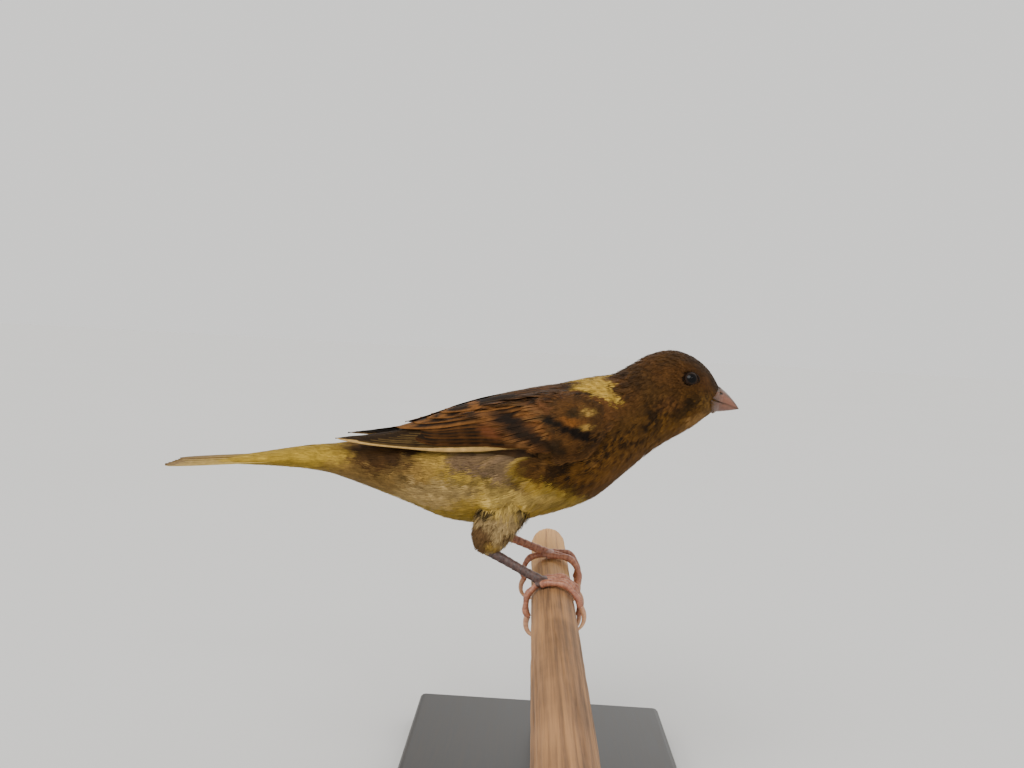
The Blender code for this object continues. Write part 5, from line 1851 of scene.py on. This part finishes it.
@dataclass
class Leg:
    """One scaled shank with its foot, toes and claws, gripping the perch."""

    side: Side
    ankle: tuple[float, float, float]
    foot_y: float
    foot_angle: float
    looseness: float
    perch_radius: float = 5.0
    perch_height: float = 55.0
    gap: float = 0.3
    shank_radius: float = 1.08
    scutes: int = 9
    hub: tuple[float, float, float] = (1.7, 2.5, 1.05)
    toe_radius: float = 0.74
    claw_radius: float = 0.6
    claw_length: float = 6.0
    claw_bows: tuple[float, float] = (2.3, 1.1)
    toes: tuple[Toe, ...] = (
        Toe(1, 0.0, 0.3, 8.5, -1),
        Toe(2, -1.8, -4.6, 9.5, 1),
        Toe(3, 0.0, 0.4, 13.0, 1),
        Toe(4, 1.8, 5.0, 10.0, 1),
    )

    def round_perch(self, along: Array, lift: Array, y: Array, wrap: int) -> Array:
        """Points beside the perch, a distance along its bark from the foot."""
        angle = math.radians(self.foot_angle) + wrap * along / (self.perch_radius + 1.0)
        out = np.stack([np.sin(angle), 0 * angle, np.cos(angle)], axis=-1)
        centre = np.stack([0 * y, self.foot_y + y, self.perch_height + 0 * y], axis=-1)
        return centre + out * (self.perch_radius + lift)[:, None]

    def build(self) -> None:
        """Shank, foot, toes and claws."""
        self.build_shank()
        for toe in self.toes:
            self.build_toe(toe)

    def scale_piece(self, name: str, bm: bmesh.types.BMesh, joint: Array, stands_for: str) -> None:
        """Writes a scaled piece with its joints marked dark; the right shank is darkened all over as painted shade."""
        layer = bm.verts.layers.float.new("Joint")
        for vert, value in zip(bm.verts, joint):
            vert[layer] = value
        closed(bm)
        # The right shank, nearest the camera, gets darker plates and joints: painted shade, not a different scale
        # colour.
        worn = LegScale("dusty leg scale", pale="5D463F", deep="3B2A27", joint="271B17")
        clean = LegScale(pale="AC7458", deep="86523E", joint="653E2F")
        dusty = self.side is Side.RIGHT and name.startswith("shank")
        dress(new_object(name, bm), worn if dusty else clean, (stands_for,))

    def build_shank(self) -> None:
        """The shank's overlapping scutes all round, and the pad of the foot."""
        name = self.side.name.lower()
        angle = math.radians(self.foot_angle)
        out = np.array((math.sin(angle), 0.0, math.cos(angle)))
        foot = np.array((0.0, self.foot_y, self.perch_height)) + out * (self.perch_radius + self.gap + self.hub[2])
        start = np.array(self.ankle)
        t = np.linspace(-0.04, 1.0, 14)
        tube = Tube(start + np.outer(t, foot - start), self.shank_radius * (1.25 - 0.9 * t + 0.75 * t * t))

        def scute(s: Array, a: Array) -> tuple[Array, Array]:
            """How far each point stands out, and how close it is to a joint."""
            part = (s * self.scutes) % 1.0
            swell = 0.1 * (1.0 - part) ** 1.5 - 0.05
            near = np.exp(-(((part - 0.0) / 0.07) ** 2)) + np.exp(-(((part - 1.0) / 0.1) ** 2))
            return swell, near * 0.6

        bm = bmesh.new()
        _, shares = mapped_grid(bm, self.scutes * 10, 24, lambda s, a: tube.place(s, a, scute(s, a)[0]))
        joint = scute(shares[:, 0], shares[:, 1])[1]
        turn = Vector((0, 0, 1)).rotation_difference(Vector(out)).to_matrix().to_4x4()
        size = Matrix.Diagonal((*(r * MM for r in self.hub), 1.0))
        bmesh.ops.create_uvsphere(
            bm, u_segments=28, v_segments=18, radius=1.0, matrix=Matrix.Translation(foot * MM) @ turn @ size
        )
        joint = np.concatenate([joint, np.full(len(bm.verts) - len(joint), 0.2)])
        self.scale_piece(f"shank_{name}", bm, joint, f"tarsus_{name}")

    def build_toe(self, toe: Toe) -> None:
        """One toe with rings of scutes, and its curved claw."""
        name = f"{self.side.name.lower()}_{toe.number}"
        t = np.linspace(0.0, 1.0, 24)
        radii = self.toe_radius * (1.08 - 0.14 * t) + 0.1 * np.sin(2 * np.pi * (t * 2.5 + 0.1)) * np.minimum(1.0, 4 * t)
        y = self.side.value * (toe.root_y + (toe.tip_y - toe.root_y) * t**0.9)
        arch = self.looseness * (1 - np.cos(2 * np.pi * np.minimum(t / 1.3, 1.0))) / 2
        tube = Tube(self.round_perch(-0.2 + (toe.length + 1.1) * t, self.gap + radii + arch, y, toe.wrap), radii)
        rings = round(toe.length * 1.5)

        def scute(s: Array, a: Array) -> tuple[Array, Array]:
            """Low steps between the toe's scutes, and how close each point is to one."""
            part = (s * rings) % 1.0
            near = np.exp(-((np.minimum(part, 1.0 - part) / 0.1) ** 2))
            return 0.04 * (1.0 - part) - 0.03 * near, near * 0.45

        bm = bmesh.new()
        _, shares = mapped_grid(bm, rings * 8, 20, lambda s, a: tube.place(s, a, scute(s, a)[0]))
        self.scale_piece(f"toe_scaled_{name}", bm, scute(shares[:, 0], shares[:, 1])[1], f"toe_{name}")
        bow = self.claw_bows[0 if toe.number == 1 else 1]
        radii = (self.claw_radius + 0.1) * (1 - t) ** 0.85 + 0.04
        lift = self.gap + radii + 0.14 + np.sin(np.pi * t) * bow
        lift = lift + self.looseness * (1 - math.cos(2 * math.pi / 1.3)) / 2 * (1 - t)
        along = 0.7 + toe.length + (self.gap + self.claw_length + 0.2) * t
        y = self.side.value * (toe.tip_y + (toe.tip_y - toe.root_y) * self.claw_length * t / toe.length * 0.5)
        tube = Tube(self.round_perch(along, lift, y, toe.wrap), radii, 0.78)
        bm = bmesh.new()
        _, shares = mapped_grid(bm, 40, 16, tube.place)
        layer = bm.verts.layers.float.new("Growth")
        for vert, share in zip(bm.verts, shares[:, 0]):
            vert[layer] = 0.1 + 0.6 * share
        closed(bm)
        horn = Horn("claw horn", pale="C89B74", deep="94614A", line=0.5)
        dress(new_object(f"claw_curved_{name}", bm), horn, (f"claw_{name}",))


@dataclass
class Perch:
    """The dowel: turned, weathered into long shallow grooves, rounded at its far end."""

    radius: float = 5.0
    height: float = 55.0
    near: float = -104.0
    far: float = 57.0
    groove: float = 0.13

    def build(self) -> None:
        """One closed dowel."""
        ends = np.linspace(0.0, 84.0, 10)
        round_y = self.far - 6.0 + 6.0 * np.sin(np.radians(ends))
        ys = np.concatenate([np.array((self.near, self.near + 0.15, self.near + 0.5)), np.linspace(self.near + 1.5, self.far - 7.0, 120), round_y])
        shares = np.concatenate([(0.93, 0.985, 1.0), np.ones(120), np.cos(np.radians(ends)) ** 0.8])

        def place(s: Array, a: Array) -> Array:
            """Rounds the stations and cuts the grooves."""
            at = s * (len(ys) - 1)
            y, share = np.interp(at, np.arange(len(ys)), ys), np.interp(at, np.arange(len(ys)), shares)
            turn = a * 2 * math.pi
            ring = np.stack([np.cos(turn) * 5.0, y * 0.05, np.sin(turn) * 5.0], axis=-1)
            cut = np.maximum(ripple(ring, 1.5, 91), 0.0) ** 2 + 0.5 * ripple(ring, 0.7, 92)
            radius = self.radius * share - self.groove * cut * smooth(share, 0.6, 1.0)
            return np.stack([np.cos(turn) * radius, y, self.height + np.sin(turn) * radius], axis=-1)

        bm = bmesh.new()
        mapped_grid(bm, len(ys) - 1, 160, place)
        closed(bm)
        dowel = new_object("dowel", bm)
        y = np.array([v.co.y for v in dowel.data.vertices]) / MM
        # Paler towards the far end: partly bare wood, partly painted light falling from behind; the cut near end is
        # bare wood.
        set_attribute(dowel.data, "Bare", 0.1 + 0.85 * smooth(y, -18.0, 34.0) + 0.8 * (y < self.near + 0.1))
        dowel.data.set_sharp_from_angle(angle=math.radians(50))
        dress(dowel, Dowel(), ("perch",))


@dataclass
class Stand:
    """The plain display stand, whose solids are kept and finished."""

    nodes: dict

    def build(self) -> None:
        """Lacquers the base and gives the rods their brushed steel."""
        for name, finish in (("stand_base", Lacquer()), ("stand_rod_1", BrushedSteel()), ("stand_rod_2", BrushedSteel())):
            self.nodes[name].data.materials.clear()
            self.nodes[name].data.materials.append(finish.material())
            LOG.info("%s: %s", name, finish.name)


@dataclass
class Studio:
    """Floor, soft lights and the camera at the picture's angle."""

    world: float = 1.3
    lens: float = 31.18
    camera_at: tuple[float, float, float] = (-8.0, -216.0, 113.8)
    camera_axes: tuple = (
        (0.99811745, 0.02342619, 0.05668128),
        (-0.05755109, 0.03829281, 0.99760791),
        (0.02119967, -0.99899193, 0.03956893),
    )

    def build(self) -> None:
        """Everything round the object."""
        bm = bmesh.new()
        bmesh.ops.create_circle(bm, cap_ends=True, segments=96, radius=40.0)
        floor = new_object("floor", bm)
        floor.data.materials.append(PaleFloor().material())
        self.add_light("key", (-0.5, -0.9, 1.0), 40.0, 2.3)
        self.add_light("back", (0.4, 0.9, 0.8), 60.0, 0.85)
        data = bpy.data.lights.new("catch light", "AREA")
        data.size, data.energy = 0.1, 0.8
        small = bpy.data.objects.new("catch light", data)
        bpy.context.scene.collection.objects.link(small)
        at = Vector((0.35, -0.85, 0.75))
        small.matrix_world = Matrix.Translation(at) @ (Vector((0.03, 0, 0.1)) - at).to_track_quat("-Z", "Y").to_matrix().to_4x4()
        world = bpy.data.worlds.new("pale studio")
        bpy.context.scene.world = world
        world.use_nodes = True
        background = world.node_tree.nodes["Background"]
        background.inputs["Color"].default_value = (*linear_rgb("E9E8E5"), 1.0)
        background.inputs["Strength"].default_value = self.world
        data = bpy.data.cameras.new("camera")
        data.lens, data.sensor_width, data.clip_start = self.lens, 36.0, 0.005
        camera = bpy.data.objects.new("camera", data)
        bpy.context.scene.collection.objects.link(camera)
        axes = Matrix(self.camera_axes).transposed().to_4x4()
        camera.matrix_world = Matrix.Translation(Vector(self.camera_at) * MM) @ axes
        bpy.context.scene.camera = camera

    def add_light(self, name: str, at: tuple[float, float, float], spread: float, strength: float) -> None:
        """A broad soft light from far away, spread over an angle in degrees."""
        data = bpy.data.lights.new(name, "SUN")
        data.angle, data.energy = math.radians(spread), strength
        light = bpy.data.objects.new(name, data)
        bpy.context.scene.collection.objects.link(light)
        light.matrix_world = Matrix.Translation(at) @ (-Vector(at)).to_track_quat("-Z", "Y").to_matrix().to_4x4()


def main() -> None:
    """Builds and dresses every piece."""
    logging.basicConfig(level=logging.INFO, format="%(name)s %(message)s")
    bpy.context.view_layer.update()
    body, socket, marks = Body(), EyeSocket(), Markings()
    wings = (Wing(body, Side.LEFT), Wing(body, Side.RIGHT))
    thighs = (Thigh((-14.8, 12.0, 66.4), Side.LEFT), Thigh((-17.0, -12.0, 67.5), Side.RIGHT))
    plumage = Plumage(body, socket, wings, thighs, marks)
    plumage.build_skin()
    plumage.build_coat()
    plumage.build_overlaps()
    plumage.build_thighs()
    for wing in wings:
        feathers = WingFeathers(wing, marks)
        feathers.build_stiff()
        feathers.build_rows()
        feathers.build_arm()
        feathers.build_coverts()
    Tail().build()
    head = Head(body, socket)
    head.build_eyes()
    head.build_lids()
    head.build_bill()
    Leg(Side.RIGHT, (-17.0, -12.0, 67.5), -13.0, -27.0, 0.3).build()
    Leg(Side.LEFT, (-14.8, 12.0, 66.4), 13.0, -8.0, 1.5).build()
    Perch().build()
    Stand(frame["nodes"]).build()
    Studio().build()


if __name__ == "__main__":
    main()
